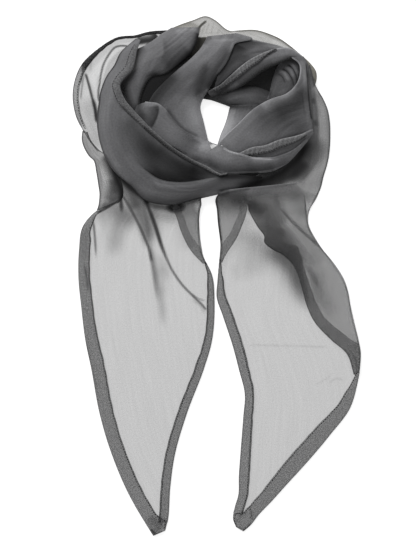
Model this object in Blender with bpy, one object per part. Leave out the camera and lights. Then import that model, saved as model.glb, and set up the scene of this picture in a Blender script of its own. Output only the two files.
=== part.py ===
"""A pointed chiffon scarf, wound one and three-quarter times into a ring that lies flat, with both ends free.

Lengths are millimetres in the tables and metres in Blender. +Z is up, the scarf lies on z = 0, +Y points
from the two hanging ends towards the ring, and the plan is centred on its own box.

Each stretch of cloth is a wall on a surface: a table gives the two edges of the stretch section by section,
a smooth curve joins the sections, the crown bulges the cloth between its edges, and the folds are soft
ridges or troughs along short curves. The stretches are laid one after another on a height map of what
already lies there, so each one rests on the cloth beneath it with a small gap.
"""

from dataclasses import dataclass, field

import bpy
import numpy as np

MM = 0.001

# Driving dimensions, in millimetres.
CLOTH = 1.2  # wall that stands for one layer of chiffon
HEM = 1.0  # wall of a turned and stitched hem on top of its panel
GAP = 0.45  # left between a stretch and what it lies on
END_HEM = 13.5  # finished width of the hem on a slanted end
SIDE_HEM = 8.5  # finished width of the hem on a long edge
ROLLED_HEM = 6.0  # the same hem where it stands half on edge
BAND_HEM = 7.5  # the same hem on the small bands of the ring
LAYER_RISE = 2.2  # step between the layers that show at the edge of the hidden cloth
LAYER_INSET = 0.035  # how far each layer steps back, as a share of the ring's width
HIDDEN_HEIGHT = 12.5  # top of the hidden layers

ROUNDNESS = 2.4  # 2 bulges as an ellipse, more is flatter on top
CELL = 1.0  # height map cell
MAP_HALF = (150, 260)  # half size of the height map
SETTLE_PASSES = 14
TEST_DIVISIONS = 5  # how finely a triangle is tested against the height map
STAMP_DIVISIONS = 16  # how finely a triangle is stamped on it
HEM_SHARE = 0.46  # the most of its panel's width that one hem takes, near a pointed tip
HEM_ACROSS = 2  # quads across a hem

GREY = (0.118, 0.118, 0.122, 1.0)
HEM_GREY = (0.085, 0.085, 0.088, 1.0)
SHADOW_GREY = (0.045, 0.045, 0.047, 1.0)

# Sections of each stretch: (left x, y, z), (right x, y, z), crown. Left and right are its two edges.
LEFT_TAIL = (
    ((-88, 90, 4), (-20, 90, 4), 2.0),
    ((-90, 72, 3), (-15, 69, 3), 2.0),
    ((-111, 61, 1), (-16, 62, 1.5), 2.0),
    ((-119.5, 53.5, 0), (-17, 52, 1), 1.5),
    ((-125.5, 44, 0), (-17, 38, 0), 1.0),
    ((-128, 25, 0), (-15, 23, 0), 0.5),
    ((-128.6, -1, 0), (-4.7, 1, 0), 0),
    ((-126, -28, 0), (-2.5, -22, 0), 0),
    ((-121.5, -63, 0), (-5.3, -62, 0), 0),
    ((-117, -84, 0), (-11.7, -84, 0), 0),
    ((-109, -127, 0), (-28, -127, 0), 0),
    ((-99.5, -160, 0), (-38.5, -162, 0), 0),
    ((-84, -198, 0), (-43.6, -196, 0), 0),
    ((-69, -225, 0), (-46, -226, 0), 0),
    ((-59, -241, 0), (-50, -238, 0), 0),
)
LEFT_TAIL_TURNBACK = (
    ((-43, 68, 3), (-15, 70, 3), 1.0),
    ((-38, 57, 2), (-16.7, 60, 2), 1.0),
    ((-33.5, 43, 1.5), (-16.8, 45, 1.5), 1.0),
    ((-26, 27.5, 1.5), (-15.3, 29, 1.5), 0.8),
    ((-20.5, 20, 1.5), (-13, 18, 1.5), 0.5),
    ((-13, 12.5, 1.5), (-9.3, 11, 1.5), 0.2),
)
LEFT_DRAPE = (
    ((-124, 134, 1), (-103, 127, 4), 2.0),
    ((-123.5, 122, 1), (-101, 116, 4), 2.0),
    ((-114, 108, 1), (-96.7, 104.5, 4), 2.5),
    ((-111.5, 97, 0.5), (-90, 97, 4), 3.0),
    ((-109.7, 85, 0.5), (-84.5, 86, 4), 3.0),
    ((-108.6, 76, 0.5), (-81, 77, 4), 3.0),
    ((-109.7, 65.5, 0.5), (-86.5, 71, 4), 2.0),
    ((-111, 61, 0.5), (-90, 68, 4), 1.0),
)
OUTER_LEFT_LOOP = (
    ((-45.6, 228.3, 0), (-53, 215, 5), 1.0),
    ((-62.7, 227, 0), (-62, 210.6, 5), 1.5),
    ((-76.5, 223.4, 0), (-71.6, 206, 5), 2.0),
    ((-91.3, 222, 0), (-81, 201, 5), 2.5),
    ((-109, 212, 0), (-90, 192, 4), 3.0),
    ((-125.2, 197, 0), (-97.6, 183, 4), 3.0),
    ((-132, 181, 0), (-101.4, 171.5, 4), 3.0),
    ((-133.6, 166, 0), (-103, 160.4, 4), 3.0),
    ((-130.4, 148.6, 0), (-103, 149, 4), 3.0),
    ((-124, 136, 0), (-101.4, 136, 4), 2.5),
    ((-121, 127, 0), (-97.6, 125, 4), 2.0),
    ((-113, 115, 1), (-92, 113, 4), 1.5),
)
BACK_PEAK = (
    ((-53, 223.6, 1), (-48.4, 206, 8), 1.0),
    ((-45.6, 228.3, 0), (-42, 205, 8), 2.0),
    ((-34.4, 233.4, 0), (-30.7, 205, 8), 2.5),
    ((-22.3, 237.6, 0), (-19.5, 205, 8), 2.5),
    ((-10.2, 241.4, 0), (-8.4, 205, 8), 2.5),
    ((-1.8, 237.6, 0), (1, 205, 8), 2.5),
    ((8.4, 229.2, 0), (10.2, 205, 8), 2.0),
    ((17.7, 226.4, 0), (21.4, 205, 8), 1.5),
)
BACK_LOOP = (
    ((8.4, 226.4, 1), (14, 199.4, 9), 2.0),
    ((21.4, 228.2, 0), (24.2, 201.3, 9), 3.0),
    ((37.2, 228.3, 0), (35.4, 203, 9), 3.5),
    ((49.3, 224.6, 0), (43.7, 203, 9), 4.0),
    ((58.6, 220.3, 0), (51.2, 201.3, 10), 4.0),
    ((68, 213.6, 0), (58.6, 197.6, 10), 4.0),
    ((77.2, 206, 0), (66, 192, 10), 4.0),
    ((85.6, 198.5, 0), (70.7, 186.4, 10), 4.0),
    ((91.4, 190.6, 0), (73.5, 179, 10), 4.0),
    ((92, 183.6, 0), (74.4, 171.5, 10), 3.5),
    ((90.4, 177, 0), (74.4, 166, 10), 3.0),
)
RIGHT_OUTER = (
    ((85.6, 190, 4), (79, 188, 9), 1.5),
    ((91.2, 176, 1), (80, 177, 10), 3.0),
    ((98.6, 164, 0), (82, 164, 10), 4.0),
    ((102.3, 155, 0), (83.7, 155, 10), 4.5),
    ((104.2, 144.6, 0), (85.6, 145.5, 10), 5.0),
    ((104.7, 129, 0), (84.6, 130.6, 10), 5.0),
    ((103.7, 114, 0), (77.2, 115.7, 9), 5.5),
    ((101.7, 103.7, 0), (62, 106, 8), 5.5),
    ((98.6, 93.4, 0), (54, 95, 8), 5.0),
    ((95.5, 81.3, 0), (50, 84, 7), 4.0),
    ((92.5, 74, 0), (50, 76, 5), 3.0),
)
TOP_INNER_BAND = (
    ((-13, 168, 8), (-13, 164, 4), 1.0),
    ((-3, 170, 10), (-3.7, 163.4, 3), 2.0),
    ((8.4, 172.5, 11), (5.6, 160.4, 2), 4.0),
    ((21.4, 175.3, 12), (15.8, 157, 3), 5.0),
    ((34.4, 175.3, 12), (27, 155.3, 4), 5.0),
    ((45.6, 171.5, 12), (38, 155.7, 6), 4.0),
    ((55, 167, 12), (47.4, 156.7, 9), 3.0),
)
HOLE_RIGHT_STRAND = (
    ((12.7, 158.7, 3), (38, 158.5, 11), 4.0),
    ((11, 151, 1.5), (34.4, 152, 12), 4.5),
    ((8.4, 142.2, 1.5), (30.7, 143.6, 12), 4.5),
    ((4.2, 132, 1.5), (25, 134.3, 11), 4.0),
    ((0.9, 121.5, 2.5), (17.7, 121.3, 9), 3.0),
)
LEFT_STRAND = (
    ((-42, 230, 7), (-16.7, 229.2, 10), 3.0),
    ((-51.3, 224, 8), (-18.6, 220, 13), 5.0),
    ((-60.4, 217, 9), (-21.8, 211.5, 14), 6.5),
    ((-68, 210.6, 10), (-28, 203, 13), 7.5),
    ((-73, 203, 10), (-39, 194, 11), 8.0),
    ((-76.7, 194, 10), (-50.2, 187.4, 9), 7.0),
    ((-79.5, 183.6, 10), (-63, 184.6, 8), 6.0),
    ((-81, 175.3, 10), (-68.3, 174.3, 8), 5.0),
    ((-80, 166, 10), (-71.6, 164, 9), 3.5),
    ((-76, 155.5, 10), (-72.5, 152, 9), 1.5),
)
INNER_LEFT_STRAND = (
    ((-12, 221.8, 9), (17.7, 221.8, 9), 4.0),
    ((-14, 211, 14), (13.5, 210.6, 12), 5.0),
    ((-24.2, 200.4, 16), (9.3, 197.6, 12), 6.0),
    ((-36.3, 190, 16), (1, 183.6, 11), 7.0),
    ((-48, 179, 15), (-7.4, 172.5, 9), 8.0),
    ((-58.6, 168, 13), (-13.4, 164.6, 4), 9.0),
    ((-65, 155, 11), (-15.8, 156.7, 2), 10.0),
    ((-62.3, 138, 10), (-13, 143.5, 2), 10.0),
    ((-50, 125, 9), (-10.2, 131.6, 2), 10.0),
    ((-32.5, 111, 9), (-8, 125, 2), 9.0),
    ((-14, 102, 8), (-3, 120.4, 3), 7.5),
    ((6.5, 94.8, 8), (4.5, 120, 8), 6.5),
    ((17.7, 95.3, 8), (13, 115.3, 11), 6.5),
    ((28.8, 96.2, 8), (23.3, 112.5, 13), 6.5),
    ((42, 96.5, 8), (32.6, 109.7, 14), 7.0),
    ((51.2, 98, 8), (43.3, 109, 15), 6.5),
    ((59.5, 101.8, 9), (53, 109.7, 15), 5.0),
    ((67, 107, 10), (64.2, 113.4, 15), 3.5),
    ((75.3, 116.2, 12), (73.5, 118.5, 15), 1.5),
    ((83.7, 126, 13), (82.8, 127.4, 14), 0.3),
)
INNER_LEFT_FOLD = (
    ((-73.5, 160.4, 12), (-65, 162.7, 15), 1.0),
    ((-75.3, 153, 12), (-55.8, 160.4, 19), 1.5),
    ((-70.7, 143.6, 12), (-47.4, 155, 20), 1.5),
    ((-62.3, 135.3, 13), (-42, 147, 20), 1.5),
    ((-53, 127.8, 14), (-36, 138, 19), 1.5),
    ((-43.7, 121.3, 14), (-29, 128, 18), 1.2),
    ((-33, 114, 13), (-22, 118, 16), 0.8),
    ((-22, 107, 12), (-16, 109, 14), 0.3),
)
RIGHT_LOOP_INSIDE = (
    ((55, 192, 12), (73.5, 198.5, 15), 1.0),
    ((53, 185.5, 11), (75.3, 192, 15), 2.0),
    ((51.2, 178, 11), (75.3, 182.7, 15), 3.0),
    ((49.3, 170.6, 11), (71.6, 174.3, 15), 3.0),
    ((46.5, 163.2, 11), (62.3, 167, 15), 2.0),
)
TOP_RIGHT_BACK = (
    ((4.7, 195.7, 14), (-2.8, 173.4, 14), 1.0),
    ((14, 208.7, 13), (8.4, 182.7, 16), 2.0),
    ((21.4, 217, 11), (19.5, 192, 17), 3.0),
    ((32.6, 219.4, 9), (30.7, 198.5, 17), 3.5),
    ((44.7, 217, 9), (42, 202.2, 17), 3.5),
    ((58.6, 214, 10), (55, 206, 16), 2.5),
    ((69.8, 208.7, 12), (66, 206.4, 14), 1.0),
)
TOP_RIGHT_BAND = (
    ((-9.3, 171, 10), (-4.6, 166, 10), 0.3),
    ((1.4, 176.3, 14), (6.5, 170.6, 14), 0.8),
    ((9.6, 184.5, 18), (17.7, 175.3, 18), 1.6),
    ((20.8, 193.7, 21), (28.8, 182.7, 21), 2.5),
    ((32, 200.8, 21), (38, 190, 22), 2.5),
    ((43.3, 205, 20), (47.4, 194.8, 22), 2.5),
    ((55.8, 208.7, 18), (56.7, 199, 22), 2.5),
    ((68, 209.7, 15), (66, 201.8, 21), 2.5),
    ((77.2, 204, 14), (72.6, 200.4, 20), 2.0),
    ((82, 196.7, 13), (76.3, 194, 18), 1.5),
    ((83.7, 185.5, 13), (77.2, 183.6, 17), 1.0),
)
RIGHT_LOOP = (
    ((68, 202.2, 20), (82, 203.2, 11), 2.0),
    ((75.3, 197, 21), (83.7, 195.7, 12), 2.5),
    ((76.7, 185.5, 21), (84, 182.7, 12), 3.0),
    ((73, 176.2, 21), (84.6, 170.6, 12), 4.0),
    ((62.3, 167.8, 22), (86, 156.7, 12), 5.5),
    ((47.4, 164, 22), (87.4, 143.6, 12), 6.0),
    ((36.3, 158, 20), (87.4, 135.3, 12), 6.0),
    ((29.8, 152.5, 19), (80, 130.6, 13), 5.5),
    ((25, 145.5, 17), (68, 126, 13), 5.0),
    ((19.5, 140, 15), (55, 121.3, 13), 4.5),
    ((13, 134.3, 12), (42, 116.7, 12), 4.0),
    ((7.5, 129.2, 9), (28.8, 113, 11), 3.0),
    ((2.3, 123.6, 7), (14, 112, 10), 2.0),
)
INNER_BOTTOM_BAND = (
    ((19.5, 113, 14), (25, 108.3, 12), 0.5),
    ((32, 118.5, 17), (38, 103.7, 11), 2.0),
    ((44.4, 120.5, 18), (51, 103.7, 11), 3.0),
    ((57.7, 125.6, 19), (64.2, 110.2, 11), 3.0),
    ((73, 129.2, 18), (75.3, 117.6, 12), 2.5),
    ((80.2, 131.7, 17), (82.8, 125.5, 12), 1.5),
    ((88, 135.7, 15), (88.4, 132.5, 13), 0.5),
)
FRONT_BAND = (
    ((-74.8, 220.2, 6), (-71.3, 219, 8), 1.0),
    ((-90.4, 208.5, 5), (-74.4, 209.7, 13), 3.0),
    ((-99.5, 192, 4), (-79, 190.7, 16), 5.0),
    ((-106, 176.2, 4), (-89.8, 176.2, 18), 5.5),
    ((-109, 161.6, 3), (-85.6, 163.2, 19), 7.0),
    ((-110.7, 147.4, 3), (-78, 154, 20), 8.0),
    ((-110.2, 136.2, 3), (-69.7, 144.6, 21), 9.0),
    ((-105, 114.8, 3), (-57.7, 132.5, 21), 10.0),
    ((-95, 98, 3), (-43.7, 120.4, 21), 10.0),
    ((-79, 84, 4), (-25, 108.3, 20), 10.0),
    ((-66, 71, 4), (-8.8, 100.6, 18), 9.5),
    ((-42.8, 67, 4), (2.4, 94.6, 15), 8.0),
    ((-15, 73, 4), (11.6, 95, 13), 6.0),
    ((-1, 76.2, 5), (21.4, 93.4, 12), 4.5),
    ((21.4, 80.4, 7), (42, 91.6, 11), 2.5),
)
RIGHT_TAIL = (
    ((3.7, 80, 8), (97.5, 89.5, 3), 5.0),
    ((-0.9, 71, 4), (92.5, 74, 1), 5.0),
    ((0.4, 62.7, 2), (85.6, 62, 0), 4.0),
    ((1.4, 49.7, 1), (84.3, 48.4, 0), 3.0),
    ((3.3, 34, 0), (89.3, 35.8, 0), 2.0),
    ((2.8, 19, 0), (105.5, 14.4, 0), 1.0),
    ((0.6, -5, 0), (121, -12.6, 0), 0.5),
    ((0, -19.7, 0), (125.6, -37.5, 0), 0),
    ((5.6, -36.8, 0), (131.7, -61, 0), 0),
    ((14, -62, 0), (133.6, -74, 0), 0),
    ((20.7, -87, 0), (131, -96.3, 0), 0),
    ((26, -109, 0), (123, -123.3, 0), 0),
    ((24.7, -130, 0), (105.4, -146.7, 0), 0),
    ((22, -164.7, 0), (82, -174.4, 0), 0),
    ((20.5, -186, 0), (65, -193, 0), 0),
    ((20, -203.3, 0), (49.6, -210, 0), 0),
    ((16.8, -214.4, 0), (39, -221, 0), 0),
    ((15, -226.5, 0), (30.6, -231.5, 0), 0),
    ((17.7, -233, 0), (24.2, -237, 0), 0),
)
RIGHT_TAIL_TURNBACK = (
    ((27.5, 67, 3), (82, 66.5, 3), 2.0),
    ((32, 56.6, 2), (83.2, 55.3, 2), 2.0),
    ((38, 45, 2), (85, 45, 2), 2.0),
    ((44.4, 34, 2), (91.2, 34, 2), 2.0),
    ((52, 25.5, 2), (97.7, 24.6, 2), 2.0),
    ((67.5, 15, 2), (109, 10.7, 2), 1.5),
    ((74.4, 4, 2), (117.2, -2.4, 2), 1.5),
    ((79, -10.7, 2), (121.4, -14.5, 2), 1.0),
    ((83.7, -26.6, 2), (123.7, -27.5, 2), 1.0),
    ((91, -42, 2), (127.4, -44, 2), 1.0),
    ((106.6, -58.7, 2), (131, -59, 2), 0.8),
    ((120, -70.3, 2), (133, -70.3, 2), 0.5),
    ((127.4, -88, 2), (132.3, -85, 2), 0.2),
)
RIGHT_TAIL_SIDE_TURNBACK = (
    ((-0.9, 71, 3), (29.8, 67.4, 3), 1.5),
    ((0.4, 62.7, 2), (27, 59.7, 2), 1.2),
    ((1.4, 49.7, 2), (23.3, 48.8, 2), 1.0),
    ((2.4, 37.6, 2), (18.6, 37.6, 2), 1.0),
    ((3.7, 27.4, 2), (11.2, 25.5, 2), 0.5),
    ((3.3, 19, 2), (5.6, 17.2, 2), 0.2),
)

# The ring of hidden layers: (inner x, y), (outer x, y), clockwise from the left.
HIDDEN_RING = (
    ((-19.5, 147), (-101, 144)),
    ((-20.5, 160), (-96, 169)),
    ((-19.5, 167), (-75, 193)),
    ((-13, 171), (-48, 206)),
    ((-3, 171), (-2, 209)),
    ((9, 167), (42, 207)),
    ((18, 160), (69, 193)),
    ((16, 149), (81, 164)),
    ((13, 138), (83, 132)),
    ((8.5, 125), (74, 101)),
    ((1, 116), (35, 84)),
    ((-8.5, 117), (-11, 79)),
    ((-13, 125), (-62, 81)),
    ((-17.5, 136), (-93, 108)),
)

# Folds: start (x, y), middle (x, y), end (x, y), rise (a trough is negative), half width.
LEFT_TAIL_FOLDS = (
    ((-88, 76), (-72, 46), (-56, -8), 2.6, 3.0),
    ((-66, 72), (-52, 32), (-12, -30), 3.4, 3.5),
    ((-67, 66), (-65, 46), (-62, 27), 1.2, 2.5),
)
LEFT_DRAPE_FOLDS = (
    ((-105, 104), (-97, 86), (-93, 74), 1.5, 3.0),
    ((-112, 118), (-104, 100), (-96, 88), 1.2, 2.5),
)
OUTER_LEFT_LOOP_FOLDS = (
    ((-121, 189), (-114, 164), (-110, 146), 1.8, 2.5),
    ((-83, 214.5), (-105, 201), (-109, 165), 1.8, 2.5),
)
BACK_PEAK_FOLDS = (((-9, 237), (-17, 229), (-19, 214), 1.5, 2.5),)
BACK_LOOP_FOLDS = (((22, 219), (44, 219), (66, 208), 1.5, 3.0),)
RIGHT_OUTER_FOLDS = (
    ((84, 190), (87, 160), (90, 132), -3.0, 3.0),
    ((94, 172), (98, 140), (92, 106), 2.0, 4.0),
)
LEFT_STRAND_FOLDS = (
    ((-51, 214), (-51, 200), (-64, 182), -2.0, 3.5),
    ((-30, 226), (-34, 212), (-46, 196), 1.5, 4.0),
)
INNER_LEFT_STRAND_FOLDS = (
    ((-18, 204), (-32, 176), (-30, 140), 2.2, 5.0),
    ((2, 205), (-16, 180), (-22, 140), -2.5, 4.5),
    ((-40, 176), (-42, 160), (-36, 140), -1.8, 4.0),
    ((-30, 134), (-14, 120), (12, 108), 1.6, 4.0),
    ((8, 104), (30, 101), (56, 103), 1.2, 3.0),
)
INNER_LEFT_FOLD_FOLDS = (((-66, 156), (-62, 148), (-62, 140), -3.5, 4.0),)
TOP_RIGHT_BACK_FOLDS = (((18, 209), (34, 211), (52, 209), -2.0, 3.0),)
RIGHT_LOOP_INSIDE_FOLDS = (
    ((61, 192), (68, 184), (71, 174), 2.0, 2.2),
    ((57, 184), (60, 176), (60, 168), 2.0, 2.5),
)
RIGHT_LOOP_FOLDS = (
    ((80, 178), (74, 160), (56, 134), -3.0, 7.0),
    ((40, 158), (34, 142), (24, 126), 1.5, 4.0),
)
FRONT_BAND_FOLDS = (
    ((-62, 116), (-36, 100), (8, 91), -8.0, 6.0),
    ((-60, 88), (-36, 84), (4, 88), 2.0, 4.0),
    ((-96, 190), (-96, 160), (-82, 132), 1.5, 5.0),
)
RIGHT_TAIL_FOLDS = (
    ((60, -62), (80, -64), (104, -66), 1.0, 3.0),
    ((26, 74), (26, 54), (30, 30), 1.2, 5.0),
)
RIGHT_TAIL_TURNBACK_FOLDS = (
    ((58, 62), (76, 42), (94, 27), 2.4, 3.0),
    ((50, 62), (56, 36), (72, 8), -1.0, 5.0),
    ((90, 5), (96, -8), (102, -18), -1.0, 3.0),
)


@dataclass
class Stretch:
    """A length of cloth between two edges, `along` by `across` quads, with its folds."""

    name: str
    sections: tuple
    along: int
    across: int
    folds: tuple = field(default=())


@dataclass
class Hem:
    """A strip on one edge of a stretch, between two shares of the stretch's length."""

    name: str
    panel: str
    edge: str
    width: float
    start: float
    end: float
    along: int


# From the bottom of the heap to the top.
LAYING_ORDER = (
    Stretch("outer_left_loop", OUTER_LEFT_LOOP, 22, 5, OUTER_LEFT_LOOP_FOLDS),
    Hem("outer_left_hem", "outer_left_loop", "left", ROLLED_HEM, 0.0, 0.84, 20),
    Stretch("back_peak", BACK_PEAK, 12, 5, BACK_PEAK_FOLDS),
    Stretch("back_loop", BACK_LOOP, 16, 5, BACK_LOOP_FOLDS),
    Stretch("right_outer", RIGHT_OUTER, 14, 5, RIGHT_OUTER_FOLDS),
    Stretch("left_tail", LEFT_TAIL, 30, 12, LEFT_TAIL_FOLDS),
    Hem("left_tail_end_hem", "left_tail", "left", END_HEM, 0.145, 1.0, 22),
    Hem("left_tail_side_hem", "left_tail", "right", SIDE_HEM, 0.26, 0.985, 20),
    Stretch("left_drape", LEFT_DRAPE, 9, 4, LEFT_DRAPE_FOLDS),
    Stretch("left_tail_turnback", LEFT_TAIL_TURNBACK, 9, 3),
    Hem("left_tail_turnback_hem", "left_tail_turnback", "left", SIDE_HEM, 0.0, 0.92, 8),
    Stretch("top_inner_band", TOP_INNER_BAND, 10, 4),
    Stretch("hole_right_strand", HOLE_RIGHT_STRAND, 7, 4),
    Stretch("right_loop_inside", RIGHT_LOOP_INSIDE, 7, 6, RIGHT_LOOP_INSIDE_FOLDS),
    Stretch("left_strand", LEFT_STRAND, 14, 6, LEFT_STRAND_FOLDS),
    Stretch("top_right_back", TOP_RIGHT_BACK, 11, 5, TOP_RIGHT_BACK_FOLDS),
    Stretch("top_right_band", TOP_RIGHT_BAND, 17, 4),
    Hem("top_right_hem", "top_right_band", "left", BAND_HEM, 0.06, 0.62, 12),
    Stretch("right_loop", RIGHT_LOOP, 20, 7, RIGHT_LOOP_FOLDS),
    Stretch("inner_bottom_band", INNER_BOTTOM_BAND, 12, 4),
    Hem("inner_bottom_hem", "inner_bottom_band", "left", BAND_HEM, 0.02, 0.9, 12),
    Stretch("inner_left_strand", INNER_LEFT_STRAND, 34, 7, INNER_LEFT_STRAND_FOLDS),
    Stretch("inner_left_fold", INNER_LEFT_FOLD, 9, 4, INNER_LEFT_FOLD_FOLDS),
    Stretch("front_band", FRONT_BAND, 28, 8, FRONT_BAND_FOLDS),
    Hem("front_band_hem", "front_band", "right", BAND_HEM, 0.04, 0.86, 24),
    Stretch("right_tail", RIGHT_TAIL, 32, 12, RIGHT_TAIL_FOLDS),
    Hem("right_tail_end_hem", "right_tail", "right", END_HEM, 0.49, 0.985, 16),
    Hem("right_tail_side_hem", "right_tail", "left", SIDE_HEM, 0.2, 0.985, 22),
    Stretch("right_tail_side_turnback", RIGHT_TAIL_SIDE_TURNBACK, 8, 3),
    Hem("right_tail_side_turnback_hem", "right_tail_side_turnback", "right", SIDE_HEM, 0.0, 0.94, 8),
    Stretch("right_tail_turnback", RIGHT_TAIL_TURNBACK, 18, 6, RIGHT_TAIL_TURNBACK_FOLDS),
    Hem("right_tail_turnback_hem", "right_tail_turnback", "left", END_HEM - 2, 0.0, 0.93, 20),
)


class Pile:
    """A height map of everything laid so far, one number for each cell of the plan."""

    def __init__(self):
        self.origin = np.array([-MAP_HALF[0], -MAP_HALF[1]], float)
        shape = [int(2 * half / CELL) + 2 for half in MAP_HALF]
        self.height = np.zeros(shape)

    def top(self, x, y):
        """The highest cloth in the four cells round each point."""
        column = np.floor((x - self.origin[0]) / CELL).astype(int)
        row = np.floor((y - self.origin[1]) / CELL).astype(int)
        cells = [self.height[column + i, row + j] for i in (0, 1) for j in (0, 1)]
        return np.maximum.reduce(cells)

    def stamp(self, points, triangles):
        """Raises the map to the surface of a mesh."""
        samples = np.einsum("sk,tkc->tsc", lattice(STAMP_DIVISIONS), points[triangles]).reshape(-1, 3)
        cell = np.rint((samples[:, :2] - self.origin) / CELL).astype(int)
        np.maximum.at(self.height, (cell[:, 0], cell[:, 1]), samples[:, 2])


def lattice(divisions):
    """Barycentric weights of an even lattice of points in a triangle, corners included."""
    first, second = np.meshgrid(np.arange(divisions + 1), np.arange(divisions + 1), indexing="ij")
    inside = first + second <= divisions
    a, b = first[inside] / divisions, second[inside] / divisions
    return np.column_stack([a, b, 1 - a - b])


def smooth_through(knots, values, at):
    """A smooth curve through the rows of `values` at `knots`, read at `at`: cubic pieces whose slope at a
    row is that of the parabola through it and its two neighbours."""
    span = np.diff(knots)[:, None]
    slope = np.diff(values, axis=0) / span
    middle = (slope[:-1] * span[1:] + slope[1:] * span[:-1]) / (span[:-1] + span[1:])
    tangent = np.vstack([slope[:1], middle, slope[-1:]])
    piece = np.clip(np.searchsorted(knots, at, side="right") - 1, 0, len(span) - 1)
    step = span[piece]
    t = (at - knots[piece])[:, None] / step
    return (
        (1 + 2 * t) * (1 - t) ** 2 * values[piece]
        + t * (1 - t) ** 2 * step * tangent[piece]
        + t * t * (3 - 2 * t) * values[piece + 1]
        + t * t * (t - 1) * step * tangent[piece + 1]
    )


def edge_lines(sections, shares):
    """The left edge, right edge and crown of a stretch at each share of its length."""
    rows = np.array([[*left, *right, crown] for left, right, crown in sections], float)
    middle = (rows[:, :2] + rows[:, 3:5]) / 2
    knots = np.concatenate([[0], np.cumsum(np.linalg.norm(np.diff(middle, axis=0), axis=1))])
    read = smooth_through(knots, rows, shares * knots[-1])
    return read[:, :3], read[:, 3:6], np.maximum(read[:, 6], 0)


def raised_by(folds, x, y):
    """How far the folds lift the cloth at each point: a bell across each fold's curve, fading at its ends."""
    lift = np.zeros_like(x)
    t = np.linspace(0, 1, 25)
    for start, middle, end, rise, half_width in folds:
        curve = (
            np.outer((1 - t) * (1 - 2 * t), start)
            + np.outer(4 * t * (1 - t), middle)
            + np.outer(t * (2 * t - 1), end)
        )
        apart = np.hypot(x[..., None] - curve[:, 0], y[..., None] - curve[:, 1])
        nearest = apart.argmin(axis=-1)
        fade = np.clip(4 * np.minimum(t, 1 - t)[nearest], 0, 1)
        lift += rise * fade * np.exp(-((apart.min(axis=-1) / half_width) ** 2))
    return lift


def sheet_points(stretch):
    """The underside of a stretch as a grid of points, before it is laid on the pile."""
    left, right, crown = edge_lines(stretch.sections, np.linspace(0, 1, stretch.along + 1))
    even = np.linspace(0, 1, stretch.across + 1)
    rounded = 0.5 - 0.5 * np.cos(np.pi * even)
    across = ((even + rounded) / 2)[None, :, None]
    points = left[:, None] * (1 - across) + right[:, None] * across
    bulge = (1 - np.abs(2 * across[..., 0] - 1) ** ROUNDNESS) ** (1 / ROUNDNESS)
    points[..., 2] += crown[:, None] * bulge
    points[..., 2] += raised_by(stretch.folds, points[..., 0], points[..., 1])
    return points


def hem_plan(hem, sections):
    """The plan of a hem: the panel's own edge, followed inwards for the hem's width."""
    left, right, _ = edge_lines(sections, np.linspace(hem.start, hem.end, hem.along + 1))
    edge, far = (left, right) if hem.edge == "left" else (right, left)
    along = np.gradient(edge[:, :2], axis=0)
    inward = np.column_stack([-along[:, 1], along[:, 0]])
    inward *= np.sign((inward * (far - edge)[:, :2]).sum(axis=1))[:, None]
    inward /= np.linalg.norm(inward, axis=1)[:, None]
    room = HEM_SHARE * np.linalg.norm((far - edge)[:, :2], axis=1)
    inset = np.linspace(0.04, 1, HEM_ACROSS + 1)[None, :, None] * np.minimum(hem.width, room)[:, None, None]
    return edge[:, None, :2] + inward[:, None] * inset


def grid_triangles(rows, columns):
    """Two triangles for each quad of a grid, with the same diagonal all over."""
    corner = np.arange(rows * columns).reshape(rows, columns)
    a, b = corner[:-1, :-1].ravel(), corner[1:, :-1].ravel()
    c, d = corner[1:, 1:].ravel(), corner[:-1, 1:].ravel()
    return np.vstack([np.column_stack([a, b, c]), np.column_stack([a, c, d])])


def settle(points, pile):
    """Lowers a sheet that floats until it touches the pile, then lifts the corners of each triangle that
    dips into it, a little on each pass and the rest at the end."""
    rows, columns = points.shape[:2]
    triangles = grid_triangles(rows, columns)
    flat = points.reshape(-1, 3).copy()
    weights = lattice(TEST_DIVISIONS)
    share = np.minimum(weights / (weights**2).sum(axis=1, keepdims=True), 1)
    samples = np.einsum("sk,tkc->tsc", weights, flat[triangles])
    ground = pile.top(samples[..., 0], samples[..., 1])
    ground = np.where(ground > 0, ground + GAP, 0)
    flat[:, 2] -= max(0, (samples[..., 2] - ground).min())
    for turn in range(SETTLE_PASSES):
        height = np.einsum("sk,tk->ts", weights, flat[triangles][..., 2])
        short = np.maximum(ground - height, 0)
        lift = np.zeros(len(flat))
        rise = short[..., None] * (share[None] if turn < SETTLE_PASSES - 1 else 1)
        np.maximum.at(lift, triangles, rise.max(axis=1))
        flat[:, 2] += lift
    return flat.reshape(points.shape)


def normals_of(points):
    """Unit normals of a grid, pointing up."""
    along, across = np.gradient(points, axis=0), np.gradient(points, axis=1)
    normal = np.cross(along, across)
    normal *= np.sign(normal[..., 2:3])
    return normal / np.linalg.norm(normal, axis=2, keepdims=True)


def wall_mesh(under, thickness):
    """A closed wall: the grid, the same grid moved out by the thickness, and a strip round the rim."""
    over = under + thickness * normals_of(under)
    rows, columns = under.shape[:2]
    count = rows * columns
    top = grid_triangles(rows, columns) + count
    bottom = grid_triangles(rows, columns)[:, ::-1]
    corner = np.arange(count).reshape(rows, columns)
    rim = np.concatenate([corner[:, 0], corner[-1, 1:], corner[-2::-1, -1], corner[0, -2:0:-1]])
    after = np.roll(rim, -1)
    sides = np.vstack([np.column_stack([rim, after, after + count]), np.column_stack([rim, after + count, rim + count])])
    points = np.vstack([under.reshape(-1, 3), over.reshape(-1, 3)])
    return points, np.vstack([top, bottom, sides])


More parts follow.
